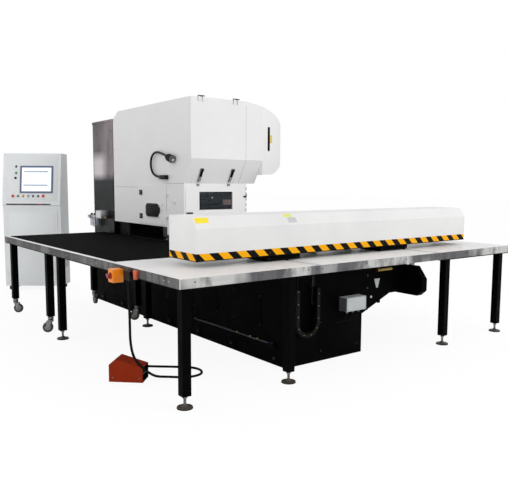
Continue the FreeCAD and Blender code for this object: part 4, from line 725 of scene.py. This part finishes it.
def make_head():
    top_trim = 2.4665
    dress("head_cover", WHITE, 0.006, lambda at, n: at.z > top_trim, (PLASTIC,), 3)

    def hood(at, normal):
        if at.z > top_trim:
            return 1
        share = (1.83 - at.z) / 0.259
        depth = at.y - slope(share, 0)[0]
        return 2 if 0.3 < share < 0.6 and depth < -0.0012 else 0

    dress("front_hood", WHITE, 0.003, hood, (PLASTIC, ZINC))
    outline = [slope(along, out) for along, out in (
        (0.7, 16), (0.7, 19.2), (0.838, 19.2), (0.926, 13), (0.926, 2.4), (0.915, 2.4),
        (0.915, 11), (0.836, 16))]
    for side, x in (("left", -0.25), ("right", 0.15)):
        dress("hood_latch_" + side, PLASTIC, 0.0012)
        hook = Build()
        hook.prism("X", outline, x - 0.015, x + 0.015, BRIGHT, 0.0012)
        hook.screw((x, *slope(0.76, 19)), SLOPE_OUT, 0.005, OILED)
        hook.done(f"latch_hook_{side}", "black_plastic", side + "_latch")
    seam = Build()
    seam.box((0.2838, -0.6203, 1.832), (0.2862, -0.619, 2.418), SEAM, 0)
    seam.prism("X", [slope(0, 0.3), slope(0.98, 0.3), slope(0.98, -0.8), slope(0, -0.8)],
               0.2838, 0.2862, SEAM, 0)
    seam.done("hood_seam", "white_paint", "hood")

    def guard(at, normal):
        if at.y >= -0.4705:
            return 0
        return 1 if at.z > 1.54 else 2 * (at.x > 0.385)

    dress("turret_guard", WHITE, 0.003, guard, (ZINC, PLASTIC))

    body = Build()
    corner = [(0.51 + 0.264 * a, 2.428 - 0.189 * b)
              for a, b in ((0, 0), (0.37, 0.17), (0.7, 0.43), (0.92, 0.71), (1, 1))]
    foot = [(0.774, 1.785), (0.738, 1.7275), (0.664, 1.675), (0.51, 1.67)]
    body.prism("Y", worn(corner, 3) + worn(foot, 3), -0.62, 0.62, WHITE, 0.006)
    side = body.done("right_housing_dressed", "white_paint")
    cutter = Build()
    cutter.prism("Y", rounded(0.588, 0.62, 1.938, 2.21, 0.0155), -0.7, -0.595, PLASTIC, 0)
    cut_away(side, cutter.done("slot_tool"))
    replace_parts(side, "right_housing")

    marks = Build()
    marks.box((0.622, -0.6212, 2.03), (0.648, -0.6196, 2.118), AMBER_PATCH, 0.0006)
    marks.box((0.64, -0.6185, 1.7), (0.7, -0.618, 1.71), WHITE, 0)
    marks.screw((0.56, (-0.45, 0, 0.45), 1.6705), DOWN, 0.006, ZINC)
    marks.screw((-0.42, 1.235, (2, 1.7)), LEFT, 0.006, ZINC)
    for i in range(6):
        y = -0.05 + 0.24 * i
        marks.screw((-0.42, y, 2.41 if y < 1.05 else 2.36), LEFT, 0.0055, WHITE)
        marks.screw((0.51, y + 0.02, 1.62), RIGHT, 0.0055, WHITE)
    marks.box((0.5095, 0.7, 1.25), (0.5125, 1.15, 1.6), WHITE)
    for z in steps(1.29, 0.032, 9):
        marks.box((0.512, 0.75, z), (0.515, 1.1, z + 0.013), GREY_DARK)
    marks.box((-0.4212, 0.54, 1.5255), (-0.4196, 1.245, 1.5285), SEAM, 0)
    marks.box((-0.4212, -0.47, 1.5695), (-0.4196, -0.09, 1.5725), SEAM, 0)
    marks.rod((-0.4205, -0.264, 1.366), (-0.4345, -0.264, 1.366), 0.02, WHITE, 36, 0.002, 0.0185)
    for z in steps(1.02, 0.06, 9):
        marks.box((0.3935, -0.4716, z), (0.4008, -0.4694, z + 0.03), PLASTIC, 0.0003)
    marks.done("head_marks", "white_paint")

    lines = Build()
    lines.box((-0.4185, -0.6206, 1.8285), (0.289, -0.6198, 1.8305), GREY, 0)
    for x, share in product((-0.34, 0.205), (0.8, 0.93)):
        lines.screw((x, *slope(share, 0)), SLOPE_OUT, 0.005, ZINC)
    lines.done("hood_marks", "white_paint", "hood")


def make_doors():
    dress("tool_door", WHITE, 0.002, lambda at, n: at.y < -0.4795 or at.x > 0.3835, (PLASTIC,))
    pane = Build()
    # Dark tinted pane: painted shade over the guard's inside.
    pane.box((-0.2265, -0.4765, 1.2945), (0.1925, -0.4725, 1.4735), GLASS, 0.0005)
    for x0, x1, z0, z1 in ((-0.234, 0.2, 1.287, 1.2945), (-0.234, 0.2, 1.4735, 1.481),
                           (-0.234, -0.227, 1.2945, 1.4735), (0.193, 0.2, 1.2945, 1.4735)):
        pane.box((x0, -0.48, z0), (x1, -0.478, z1), RUBBER, 0.0008)
    pane.box((0.08, -0.4715, 1.335), (0.186, -0.4655, 1.393), PINKISH, 0.002)
    # A small white dome on the pane where a glint shows: painted glint.
    pane.screw((-0.066, -0.476, 1.417), FRONT, 0.006, WHITE)
    pane.done("tool_window_pane", "screen_glass", "tool_door")

    dress("side_door", WHITE, 0.002, lambda at, n: at.x < -0.4292 and at.y > 0.45, (PLASTIC,))
    vent = Build()
    vent.prism("X", rounded(0.047, 0.369, 1.189, 1.343, 0.052, 8), -0.447, -0.428, PLASTIC, 0.003)
    for z in steps(1.204, 0.019, 7):
        vent.box((-0.4495, 0.085, z), (-0.446, 0.331, z + 0.009), RUBBER, 0.0015)
    for z in (1.188, 1.466):
        vent.rod((-0.4425, 0.5075, z), (-0.447, 0.5075, z), 0.014, ZINC, bevel=0.0008)
        vent.box((-0.4485, 0.4955, z - 0.002), (-0.4465, 0.5195, z + 0.002), PLASTIC, 0.0005)
    vent.screw((-0.4283, -0.014, (1.271, 1.327)), LEFT, 0.006, GREY_DARK)
    vent.done("side_door_vent", "white_paint", "side_door")

    # The cabinet's dark sheet carries a painted reflection near its top.
    dress("cabinet_door", CABINET_PAINTED_REFLECTION, 0.002, lambda at, n: at.y > 1.952 or at.x > 0.431, (PLASTIC,))
    grille = Build()
    for i in range(16):
        for z in (1.02, 1.94) if i < 12 else (1.02,):
            z += 0.03 * i
            grille.box((-0.26, 1.9498, z), (0.3, 1.9545, z + 0.014), PLASTIC, 0.0015)
    grille.done("cabinet_door_grille", "dark_panel", "cabinet_door")
    dress("rear_cabinet", CABINET_PAINTED_REFLECTION, 0.004)


LAMP_ROUTE = [(-0.445, -0.012, 1.642), (-0.446, 0.14, 1.646), (-0.449, 0.228, 1.755),
              (-0.453, 0.185, 1.895), (-0.458, 0.02, 1.932), (-0.468, -0.21, 1.858)]


def make_lamp():
    lamp = Build()
    lamp.box((-0.47, -0.14, 1.615), (-0.42, -0.01, 1.662), PLASTIC, 0.004)
    lamp.screw((-0.4695, (-0.12, -0.03), 1.638), LEFT, 0.005, ZINC)
    lamp.place = seat((-0.47, -0.312, 1.828), -74, "X")
    lamp.post(0, 0, 0.003, 0.08, 0.042, PLASTIC, 40, 0.002, 0.0395)
    lamp.post(0, 0, 0.078, 0.13, 0.039, PLASTIC, 40, 0.003, 0.022)
    lamp.ring((0, 0, 0.004), 0.0385, 0.004, PLASTIC, 40, 10)
    lamp.post(0, 0, 0.003, 0.0015, 0.035, GREY_DARK, 32)
    # A small pale lens set off centre on the dark lens face: partly the lamp's bulb, partly a
    # painted highlight.
    lamp.post(0.012, 0.008, 0.003, 0.0008, 0.015, LENS)
    lamp.ring((0, 0, 0.003), 0.031, 0.0025, STEEL)
    for z in steps(0.036, 0.01, 5):
        lamp.ring((0, 0, z), 0.04, 0.0018, PLASTIC)
    lamp.stand_for("work_lamp")
    hose("lamp_gooseneck", LAMP_ROUTE, 0.0125, PLASTIC, around=4)


def make_tables():
    coat("left_table_top rear_table_top right_table_top", TOP)
    coat("centre_table_top", DECK)
    coat("brush_panels", BRISTLE)
    for name in ("left_table_frame", "rear_table_frame", "right_table_frame"):
        dress(name, BLACK, 0.004)

    # Top faces take the brighter copy (painted highlight), faces turned along x the darker copy
    # (painted shade), and the rest the painted reflections.
    def trim(at, normal):
        return 2 if at.z > 0.9285 else abs(normal.x) > 0.7

    dress("edge_trims", TRIM, 0.0012, trim, (TRIM_SHADED, TRIM_HIGHLIGHT))
    screws = Build()
    joins = (-0.47, -0.414, 1.048, 1.104)
    for x in (-1.6, -1.02, -0.56, -0.47, -0.414, 0.1, 0.62, 1.048, 1.104, 1.55, 2.05):
        screws.screw((x, -2.6, 0.9 if x in joins else 0.902), FRONT, 0.0065, OILED)
    for y in (-2.45, -2.38, -1.95, -1.2, -0.5, -0.02, 0.12, 0.7, 1.3):
        screws.screw((-1.72, y, 0.896), LEFT, 0.006, STEEL)
        screws.screw((2.3, y, 0.896), RIGHT, 0.006, STEEL)
    screws.screw(((-1.5, -0.9, 0.7, 1.5, 2.1), 1.56, 0.896), BACK, 0.006, STEEL)
    # The front-left corner piece in the brighter trim copy: painted highlight.
    screws.box((-1.7215, -2.6015, 0.861), (-1.7135, -2.5935, 0.9295), TRIM_HIGHLIGHT, 0.0015)
    screws.done("trim_screws", "brushed_trim")

    pads = Build()
    legs = [(-1.642, -2.522), (-0.69, -2.522), (-1.642, -0.12), (-0.69, -0.12)]
    legs += product((1.3, 2.222), (-2.522, -0.12, 1.482))
    for x, y in legs:
        pads.post(x, y, 0, 0.014, 0.057, FOOT, 40, 0.0015, 0.056)
        pads.post(x, y, 0.0005, 0.009, 0.0585, RUBBER, 40, 0.002, 0.058)
        pads.post(x, y, 0.013, 0.03, 0.026, FOOT, 28, 0.001, 0.015)
        pads.post(x, y, 0.013, 0.0895, 0.01, ZINC, 20)
        pads.post(x, y, 0.072, 0.0895, 0.0175, ZINC, 6, 0.0012)
        for z in steps(0.036, 0.006, 6):
            pads.ring((x, y, z), 0.01, 0.001, OILED, 20, 6)
    pads.stand_for("levelling_feet")


CASTERS = (("front_left", -1.642, 0.23, -127.1), ("rear_left", -1.642, 1.482, 52.9),
           ("front_right", -0.64, 0.23, -127.1), ("rear_right", -0.64, 1.482, 0))


def make_casters():
    hub = -0.032, 0.055
    for name, x, y, heading in CASTERS:
        place = seat((x, y, 0), heading)
        dress("caster_fork_" + name, ZINC, 0.0012, drop=lambda at: at.z > 0.1245)
        race = Build(place)
        race.post(0, 0, 0.122, 0.136, 0.03, ZINC, 40, 0.002, 0.03)
        race.post(0, 0, 0.136, 0.148, 0.027, OILED, 40)
        race.post(0, 0, 0.147, 0.167, 0.03, ZINC, 40, 0.002, 0.03)
        race.post(0, 0, 0.166, 0.1747, 0.01, ZINC, 28)
        race.done("caster_race_" + name, "zinc_foot", "fork_" + name)
        wheel = Build(place)
        for low, high, *look in (
                (0, 0.014, 0.0549, TYRE, 64, 0.002, 0.053),
                (0.0138, 0.015, 0.035, ZINC, 40, 0.0004, 0.033),
                (0, 0.022, 0.006, ZINC, 28),
                (0.0218, 0.0245, 0.0095, ZINC, 6, 0.0006)):
            for side in (-1, 1):
                wheel.rod((side * low, *hub), (side * high, *hub), *look)
        for x in (-0.0142, 0.0142):
            wheel.ring((x, *hub), 0.04, 0.0014, RUBBER, 48, 6, RIGHT)
        wheel.stand_for("caster_wheel_" + name)


def make_base():
    dress("base_frame", BASE, 0.006)
    dress("right_rail_support", BASE, 0.006)
    dress("c_frame", IRON, 0.006)
    # The ram housing is near black: partly painted shade inside the turret guard.
    dress("ram_housing", IRON, 0.004)
    parts = Build()
    parts.box((-0.5035, -2.02, 0.1815), (-0.479, -0.78, 0.1855), GREY_DARK)
    for i in range(13):
        y = -2.06 + 0.105 * i
        parts.bolt((-0.489, y, 0.185), UP, 0.011, BRASS if i in (2, 3, 5) else OILED)
    for y in (-2.15, -1.5, -0.9, -0.3, 0.3, 0.9, 1.5):
        parts.box((-0.4855, y, 0.02), (-0.479, y + 0.12, 0.1), BASE, 0.003)
        parts.bolt((-0.4855, y + 0.06, 0.06), LEFT, 0.012, OILED)
    for y in (-1.9, -1.2, -0.6):
        parts.box((-0.483, y, 0.3), (-0.479, y + 0.45, 0.6), BASE, 0.002)
        parts.screw((-0.483, (y + 0.02, y + 0.43), (0.32, 0.58)), LEFT, 0.006, OILED)
    parts.box((-0.1, -2.2325, 0.06), (0.42, -2.229, 0.38), BASE, 0.0015)
    parts.screw(((-0.07, 0.39), -2.2325, (0.09, 0.35)), FRONT, 0.006, OILED)
    for z in (0.22, 0.28):
        parts.rod((0.452, -2.17, z), (0.492, -2.17, z), 0.017, RUBBER, 20, 0.002, 0.013)
    parts.box((0.452, -2.2, 0.19), (0.464, -2.14, 0.31), BASE, 0.002)
    parts.bolt((0.453, (-1.35, -1, 0.9, 1.3), 0.5), RIGHT, 0.012, OILED)
    parts.bolt((0.52, (-2.23, -1.355, -0.54), (0.4, 0.6, 0.72)), FRONT, 0.009, OILED)
    for y in steps(-2.17, 0.12, 14):
        for x in (-0.442, 1.076):
            parts.post(x, y, 0.8118, 0.8126, 0.007, OILED, 16)
    parts.done("base_fittings", "black_paint")

    front = Build()
    front.box((0.66, -2.2345, 0.44), (0.7, -2.2285, 0.5), BASE, 0.002)
    front.rod((0.573, -2.229, 0.51), (0.573, -2.236, 0.51), 0.012, GREY, bevel=0.001)
    front.prism("Y", [(0.613, 0.678), (0.692, 0.678), (0.665, 0.59), (0.645, 0.59)],
                -2.2335, -2.229, GREY)
    front.rod((0.63, -2.248, 0.762), (0.83, -2.248, 0.762), 0.015, BRASS, 28, 0.002)
    front.box((0.7, -2.248, 0.75), (0.76, -2.229, 0.774), OILED, 0.002)
    front.box((1.12, -2.24, 0.5), (1.195, -2.229, 0.805), ALU, 0.002)
    front.box((1.12, -2.242, 0.5), (1.325, -2.2395, 0.58), ALU)
    front.box((1.12, -2.24, 0.5), (1.325, -2.229, 0.58), ALU, 0.002)
    for x, z in ((1.28, 0.54), (1.158, 0.76)):
        front.bolt((x, -2.24, z), FRONT, 0.008, OILED)
    front.done("front_brackets", "black_paint")

    # Faces turned along x are dark grey: painted shade on the box's sides.
    def junction(at, normal):
        return 1 if abs(normal.x) > 0.5 else 2 if at.z < 0.429 else 0

    dress("junction_box", GREY, 0.003, junction, (GREY_DARK, ZINC))
    lid = Build()
    lid.box((0.153, -2.3335, 0.433), (0.397, -2.3285, 0.552), GREY, 0.002)
    lid.screw(((0.164, 0.386), -2.3335, (0.444, 0.541)), FRONT, 0.005, ZINC)
    lid.done("junction_lid", "grey_box")
    for i in range(3):
        x = 0.2 + 0.075 * i
        points = [(x, -2.28, 0.41), (x, -2.28, 0.372), (x - 0.02, -2.262, 0.34),
                  (x - 0.05, -2.24, 0.325), (x - 0.08, -2.228, 0.322)]
        hose(f"junction_wire_{i}", points, 0.005, RUBBER)


def make_chain():
    dress("energy_chain", CHAIN, 0.0015, lambda at, n: at.x > -0.187 and at.y > -2.2395, (ALU,))
    links = Build()
    middle, centre, radius, bends = -0.285, 0.391, 0.117, 13
    stops = [(-0.402, z, 0) for z in steps(0.66, -0.036, 8)]
    for i in range(bends):
        a = pi + pi * (i + 0.5) / bends
        stops.append((middle + radius * cos(a), centre + radius * sin(a), a))
    stops += [(-0.168, z, 0) for z in steps(0.408, 0.036, 8)]
    for i, (x, z, a) in enumerate(stops):
        links.place = Matrix.Translation((x, 0, z)) @ Matrix.Rotation(-a, 4, "Y")
        for y in (-2.303, -2.242):
            links.box((-0.0185, y, -0.015), (0.0185, y + 0.0045, 0.015), CHAIN, 0.0015)
            links.rod((0, y - 0.0005, 0), (0, y + 0.005, 0), 0.006, PLASTIC, 16)
        if i % 3 == 0:
            links.rod((0, -2.305, 0.006), (0, -2.3015, 0.006), 0.004, BRASS, 14)
    links.done("chain_links", "chain_plastic")
    for i, (dx, dy) in enumerate(((0, 0), (0.008, 0.012), (-0.006, 0.022))):
        points = [(x + dx, y + dy, z) for x, y, z in (
            (-0.402, -2.285, 0.676), (-0.402, -2.285, 0.735), (-0.38, -2.27, 0.782),
            (-0.325, -2.25, 0.8), (-0.27, -2.235, 0.8))]
        hose(f"chain_wire_{i}", points, 0.0055, RUBBER)


def thread(low, high, radius):
    """A ball screw's groove as (distance, across, up), ten points to each turn of 40 mm."""
    turns = (high - low) / 0.04
    for i in range(int(turns * 10)):
        a = 2 * pi * i / 10
        yield (low + (high - low) * i / (turns * 10), radius * cos(a), radius * sin(a))


def make_beam():
    dress("beam_cover", STRIPES, 0.004)
    dress("x_beam", BLACK)
    cover = Build()
    # A black strip along the cover's foot: painted shadow of the gap under the cover.
    cover.box((-1.3592, -2.2272, 0.9805), (2.0292, -2.2255, 0.9862), RUBBER, 0.0005)
    cover.place = (
        Matrix.Translation((0, -2.226, 1.229)) @ Matrix.Rotation(atan2(0.092, 0.063), 4, "X"))
    for x0, x1, y0, y1, mat in (
            (-1.345, -1.225, 0.05, 0.098, PATCH), (-0.471, -0.383, 0.076, 0.106, PATCH_PALE),
            (-0.439, -0.35, 0.022, 0.07, PATCH_GREY)):
        cover.box((x0, y0, -0.0004), (x1, y1, 0.0012), mat, 0.0004)
    cover.place = None
    for x in (-1, -0.2, 0.6, 1.4):
        cover.screw((x, -1.9, 1.321), UP, 0.006, WHITE)
        cover.screw((x + 0.3, -2.12, 1.321), UP, 0.006, WHITE)
    for x, out in ((-1.359, LEFT), (2.029, RIGHT)):
        for y, z in ((-2.17, 1.1), (-1.86, 1.1), (-2.1, 1.28), (-1.86, 1.28)):
            cover.screw((x, y, z), out, 0.006, WHITE)
    cover.done("cover_details", "white_paint", "cross_beam")
    wipers = Build()
    for x in (-0.442, 1.076):
        for y in (-2.1925, -1.945):
            wipers.box((x - 0.046, y, 0.828), (x + 0.046, y + 0.0028, 0.876), RUBBER, 0.0008)
    for a, b in ((-0.675, -0.304), (0.713, 1.113)):
        wipers.screw(((a + 0.03, b - 0.03), -2.205, (0.952, 0.983)), FRONT, 0.006, OILED)
        wipers.box((a + 0.004, -2.2075, 0.9365), (b - 0.004, -2.2045, 0.9435), RUBBER, 0.0008)
    for x in (-1.05, -0.2, 0.65, 1.5):
        wipers.box((x, -2.0105, 1.0005), (x + 0.35, -2.0088, 1.022), OILED, 0.0005)
    wipers.done("beam_fittings", "black_steel", "cross_beam")

    coat("x_ball_screw", STEEL)
    screw = Build()
    screw.rod((-0.352, -2.195, 0.735), (-0.352, -0.615, 0.735), 0.0172, STEEL_LONG, 40, 0.001)
    screw.stand_for("y_ball_screw")
    for name, points in (
            ("x_screw", [(w, u - 1.985, v + 1.115) for w, u, v in thread(-1.312, 1.982, 0.0158)]),
            ("y_screw", [(u - 0.352, w, v + 0.735) for w, u, v in thread(-2.192, -0.618, 0.0178)])):
        hose(name + "_thread", points, 0.0026, OILED, name, 2)

    dress("x_carriage", BLACK, 0.002, lambda at, n: at.y > -1.929, (OILED,))
    dress("clamp_jaw_left", STEEL, 0.0015)
    dress("clamp_jaw_right", STEEL, 0.0015)
    clamps = Build()
    for x in (0.105, 0.565):
        clamps.bolt(((x - 0.036, x + 0.036), (-1.9, -1.8), 1.06), UP, 0.007, OILED)
        clamps.post(x, -1.86, 1.06, 1.092, 0.024, OILED, 32, 0.002, 0.022)
        clamps.ring((x, -1.86, 1.092), 0.012, 0.003, BRASS, 28)
        clamps.box((x - 0.048, -1.7755, 0.9375), (x + 0.048, -1.7735, 0.9435), STEEL, 0.0005)
        points = [(x, -1.86, 1.094), (x, -1.86, 1.118), (x + 0.02, -1.885, 1.14),
                  (x + 0.05, -1.905, 1.15), (x + 0.09, -1.925, 1.15)]
        hose(f"clamp_air_{int(x * 1000)}", points, 0.004, GREY_DARK, "carriage")
    clamps.bolt(((0.01, 0.2, 0.335, 0.47, 0.66), -1.93, (1.04, 1.19)), BACK, 0.007, OILED)
    clamps.done("clamp_fittings", "black_steel", "carriage")


def on_turret(radius, station):
    """A point (x, y) on a circle of the turret, counted in stations from the front."""
    a = radians(-90 + 22.5 * station)
    return radius * cos(a), radius * sin(a)


def make_turrets():
    def outer_top(at):
        return hypot(at.x, at.y) > 0.24

    dress("upper_turret", TURRET, 0.002, lambda at, n: at.z > 1.171 and outer_top(at), (STEEL,),
          drop=lambda at: at.z > 1.1705 and outer_top(at))
    dress("lower_turret", TURRET, 0.002, lambda at, n: at.z > 0.9255, (DIE,),
          drop=lambda at: at.z > 0.9252 and (at.y > -0.26 or abs(at.x) > 0.06))
    dress("working_punch", STEEL, 0.001)
    dress("ram", STEEL, 0.002)
    upper, lower = Build(), Build()
    upper.ring((0, 0, 1.1705), 0.245, 0.003, OILED, 96)
    upper.ring((0, 0, 1.05), 0.3705, 0.0022, OILED, 128)
    lower.ring((0, 0, 0.82), 0.3705, 0.0022, OILED, 128)
    for i in range(16):
        for turret, z in ((upper, 1.02), (lower, 0.79)):
            turret.rod((*on_turret(0.365, i + 0.5), z), (*on_turret(0.372, i + 0.5), z), 0.01,
                       STEEL, 20, 0.001)
        upper.bolt((*on_turret(0.275, i + 0.5), 1.17), UP, 0.008, OILED)
        lower.bolt((*on_turret(0.262, i + 0.5), 0.925), UP, 0.0055, OILED)
        if i in (0, 8):
            continue
        x, y = on_turret(0.31, i)
        upper.post(x, y, 1.168, 1.2135, 0.0272, STEEL, 32, 0.002)
        upper.ring((x, y, 1.213), 0.019, 0.0018, OILED, 28)
        lower.post(x, y, 0.923, 0.931, 0.036, DIE, 36, 0.001)
        lower.ring((x, y, 0.9308), 0.02, 0.0014, OILED, 28, 6)
    upper.done("upper_turret_fittings", "turret_steel", "upper_turret")
    lower.done("lower_turret_fittings", "turret_steel", "lower_turret")


def make_air_unit():
    parts = Build()
    x = -0.48
    parts.box((-0.535, 1.45, 1.11), (-0.425, 1.63, 1.215), ALU, 0.004)
    parts.box((-0.5375, 1.462, 1.12), (-0.5345, 1.618, 1.205), WHITE, 0.002)
    parts.screw((-0.537, (1.472, 1.608), (1.13, 1.195)), LEFT, 0.005, ZINC)
    parts.rod((x, 1.43, 1.12), (x, 2, 1.12), 0.012, ALU, 28, 0.001)
    parts.box((x, 1.79, 1.1), (-0.425, 1.87, 1.14), ALU, 0.002)
    parts.bolt((x, 1.4345, 1.12), FRONT, 0.012, BRASS)
    parts.rod((x, 1.985, 1.12), (x, 2, 1.12), 0.0165, BRASS, 6, 0.001)
    for y, low, radius in ((1.69, 1.01, 0.024), (1.79, 0.985, 0.032), (1.89, 1, 0.028)):
        parts.post(x, y, 1.1, 1.145, radius, ALU, 36, 0.003, radius - 0.002)
        parts.post(x, y, low, 1.102, radius - 0.005, BOWL, 36, 0.004, radius - 0.003)
        parts.ring((x, y, 1.098), radius - 0.002, 0.0022, ZINC, 36)
        parts.post(x, y, 1.144, 1.168, radius * 0.55, PLASTIC, 28, 0.002, radius * 0.5)
        parts.post(x, y, low - 0.006, low + 0.002, 0.006, BRASS, 16, 0.001)
    parts.rod((-0.5, 1.89, 1.125), (-0.518, 1.89, 1.125), 0.024, STEEL, 36, 0.002)
    parts.rod((-0.517, 1.89, 1.125), (-0.519, 1.89, 1.125), 0.0205, GREY, 32)
    parts.stand_for("air_unit")


def make_stop_box():
    y, z = -1.69, 0.8525

    def box(at, normal):
        return 0 if at.y > -1.7365 else 1 if at.y > -1.902 else 2

    dress("stop_box", ORANGE, 0.003, box, (PLASTIC, WEDGE))
    ring = Build()
    # The stop button and its ring in the darker red: painted shade.
    ring.ring((-1.8105, y, z), 0.025, 0.0025, RED_SHADED, axis=RIGHT)
    ring.screw((-1.81, (-1.727, -1.653), (0.808, 0.897)), LEFT, 0.0045, ZINC)
    ring.done("stop_box_fittings", "orange_box")
    push = Build()
    push.rod((-1.8104, y, z), (-1.826, y, z), 0.012, RED_SHADED, 32)
    push.rod((-1.822, y, z), (-1.8382, y, z), 0.02, RED_SHADED, 44, 0.0045, 0.0192)
    push.ring((-1.837, y, z), 0.012, 0.0011, GREY, 32, axis=RIGHT)
    push.stand_for("stop_button", 50)


PEDAL_PLACE = seat((-1.83, -1.664, 0), -43)


def make_pedal():
    inverse = PEDAL_PLACE.inverted()

    def body(at, normal):
        x, y, z = inverse @ at
        if y > 0.166 or z < 0.0125:
            return 1
        roof = 0.138 + 0.046 * x / 0.055 if x < 0.055 else 0.184 - 0.064 * (x - 0.055) / 0.22
        # Faces inside the hood, under its roof, are black: painted shade.
        return 2 if x > 0.004 and 0.004 < y < 0.161 and 0.0125 < z < roof - 0.0035 else 0

    dress("pedal_body", HOOD, 0.002, body, (PLASTIC, BLACK))
    dress("pedal_treadle", TREAD, 0.0015)
    ribs = Build(PEDAL_PLACE)
    for x in steps(0.15, 0.015, 8):
        z = 0.0655 - (x - 0.12) * 0.0282
        ribs.box((x, 0.036, z - 0.001), (x + 0.006, 0.129, z + 0.0016), RUBBER, 0.0006)
    ribs.done("treadle_ribs", "treadle_paint", "treadle")
    trim = Build(PEDAL_PLACE)
    trim.screw(((0.03, 0.245), -0.0005, 0.035), FRONT, 0.005, ZINC)
    trim.screw(((0.03, 0.245), 0.1655, 0.035), BACK, 0.005, ZINC)
    trim.rod((0.06, 0.165, 0.025), (0.06, 0.1795, 0.025), 0.016, RUBBER, 24, 0.001, 0.0125)
    trim.done("pedal_trim", "orange_paint")
    gland = Build()
    gland.post(-1.735, -1.856, 0.8305, 0.795, 0.016, RUBBER, 24, 0.001, 0.0115)
    gland.done("cable_relief", "orange_box")


# --- stage

def make_stage():
    half, white = 60, (1, 1, 1, 1)
    floor = bpy.data.meshes.new("floor")
    floor.from_pydata([(-half, -half, -0.001), (half, -half, -0.001), (half, half, -0.001),
                       (-half, half, -0.001)], [], [(0, 1, 2, 3)])
    ground = placed("floor", floor)
    p = Paint("pale_floor")
    p.feed(p.shader, {"Base Color": (0.86, 0.86, 0.86, 1), "Roughness": 0.8})
    glow = p.add("Emission", 0, {"Color": white, "Strength": 1.03})
    share = p.maths("MULTIPLY", p.seen(), 0.88)
    mix = p.add("MixShader", 0, {0: share, 1: p.shader.outputs[0], 2: glow})
    p.feed(p.tree.nodes["Material Output"], {"Surface": mix})
    floor.materials.append(p.made)

    sky = Paint("studio", bpy.data.worlds)
    scene.world = sky.made
    strength = sky.spread(sky.seen(), 0, 1, 0.8, 1)
    sky.feed(sky.tree.nodes["Background"], {"Color": white, "Strength": strength})

    for name, at, aim, size, power, mirrored in (
            ("key", (3.5, -8.5, 6), (0.2, -0.8, 1), (6, 4), 205, True),
            ("fill", (-9, -2, 4.5), (-0.5, 0, 1), (5, 4), 110, True),
            ("bounce", (0, -1.42, 0.97), (0, -0.5, 1.95), (1.8, 0.25), 8, False),
            ("rim", (2, 8, 6.5), (0, 0.5, 1.2), (6, 3), 120, True)):
        light = bpy.data.lights.new(name, "AREA")
        light.shape = "RECTANGLE"
        light.size, light.size_y = size
        light.energy = power
        obj = placed(name, light)
        obj.location = at
        obj.rotation_euler = (Vector(aim) - Vector(at)).to_track_quat("-Z", "Y").to_euler()
        obj.visible_glossy = obj.visible_camera = mirrored
    scene.view_settings.view_transform = "Standard"


make_camera()
make_cable()
make_console()
make_head()
make_doors()
make_lamp()
make_tables()
make_casters()
make_base()
make_chain()
make_beam()
make_turrets()
make_air_unit()
make_stop_box()
make_pedal()
make_stage()
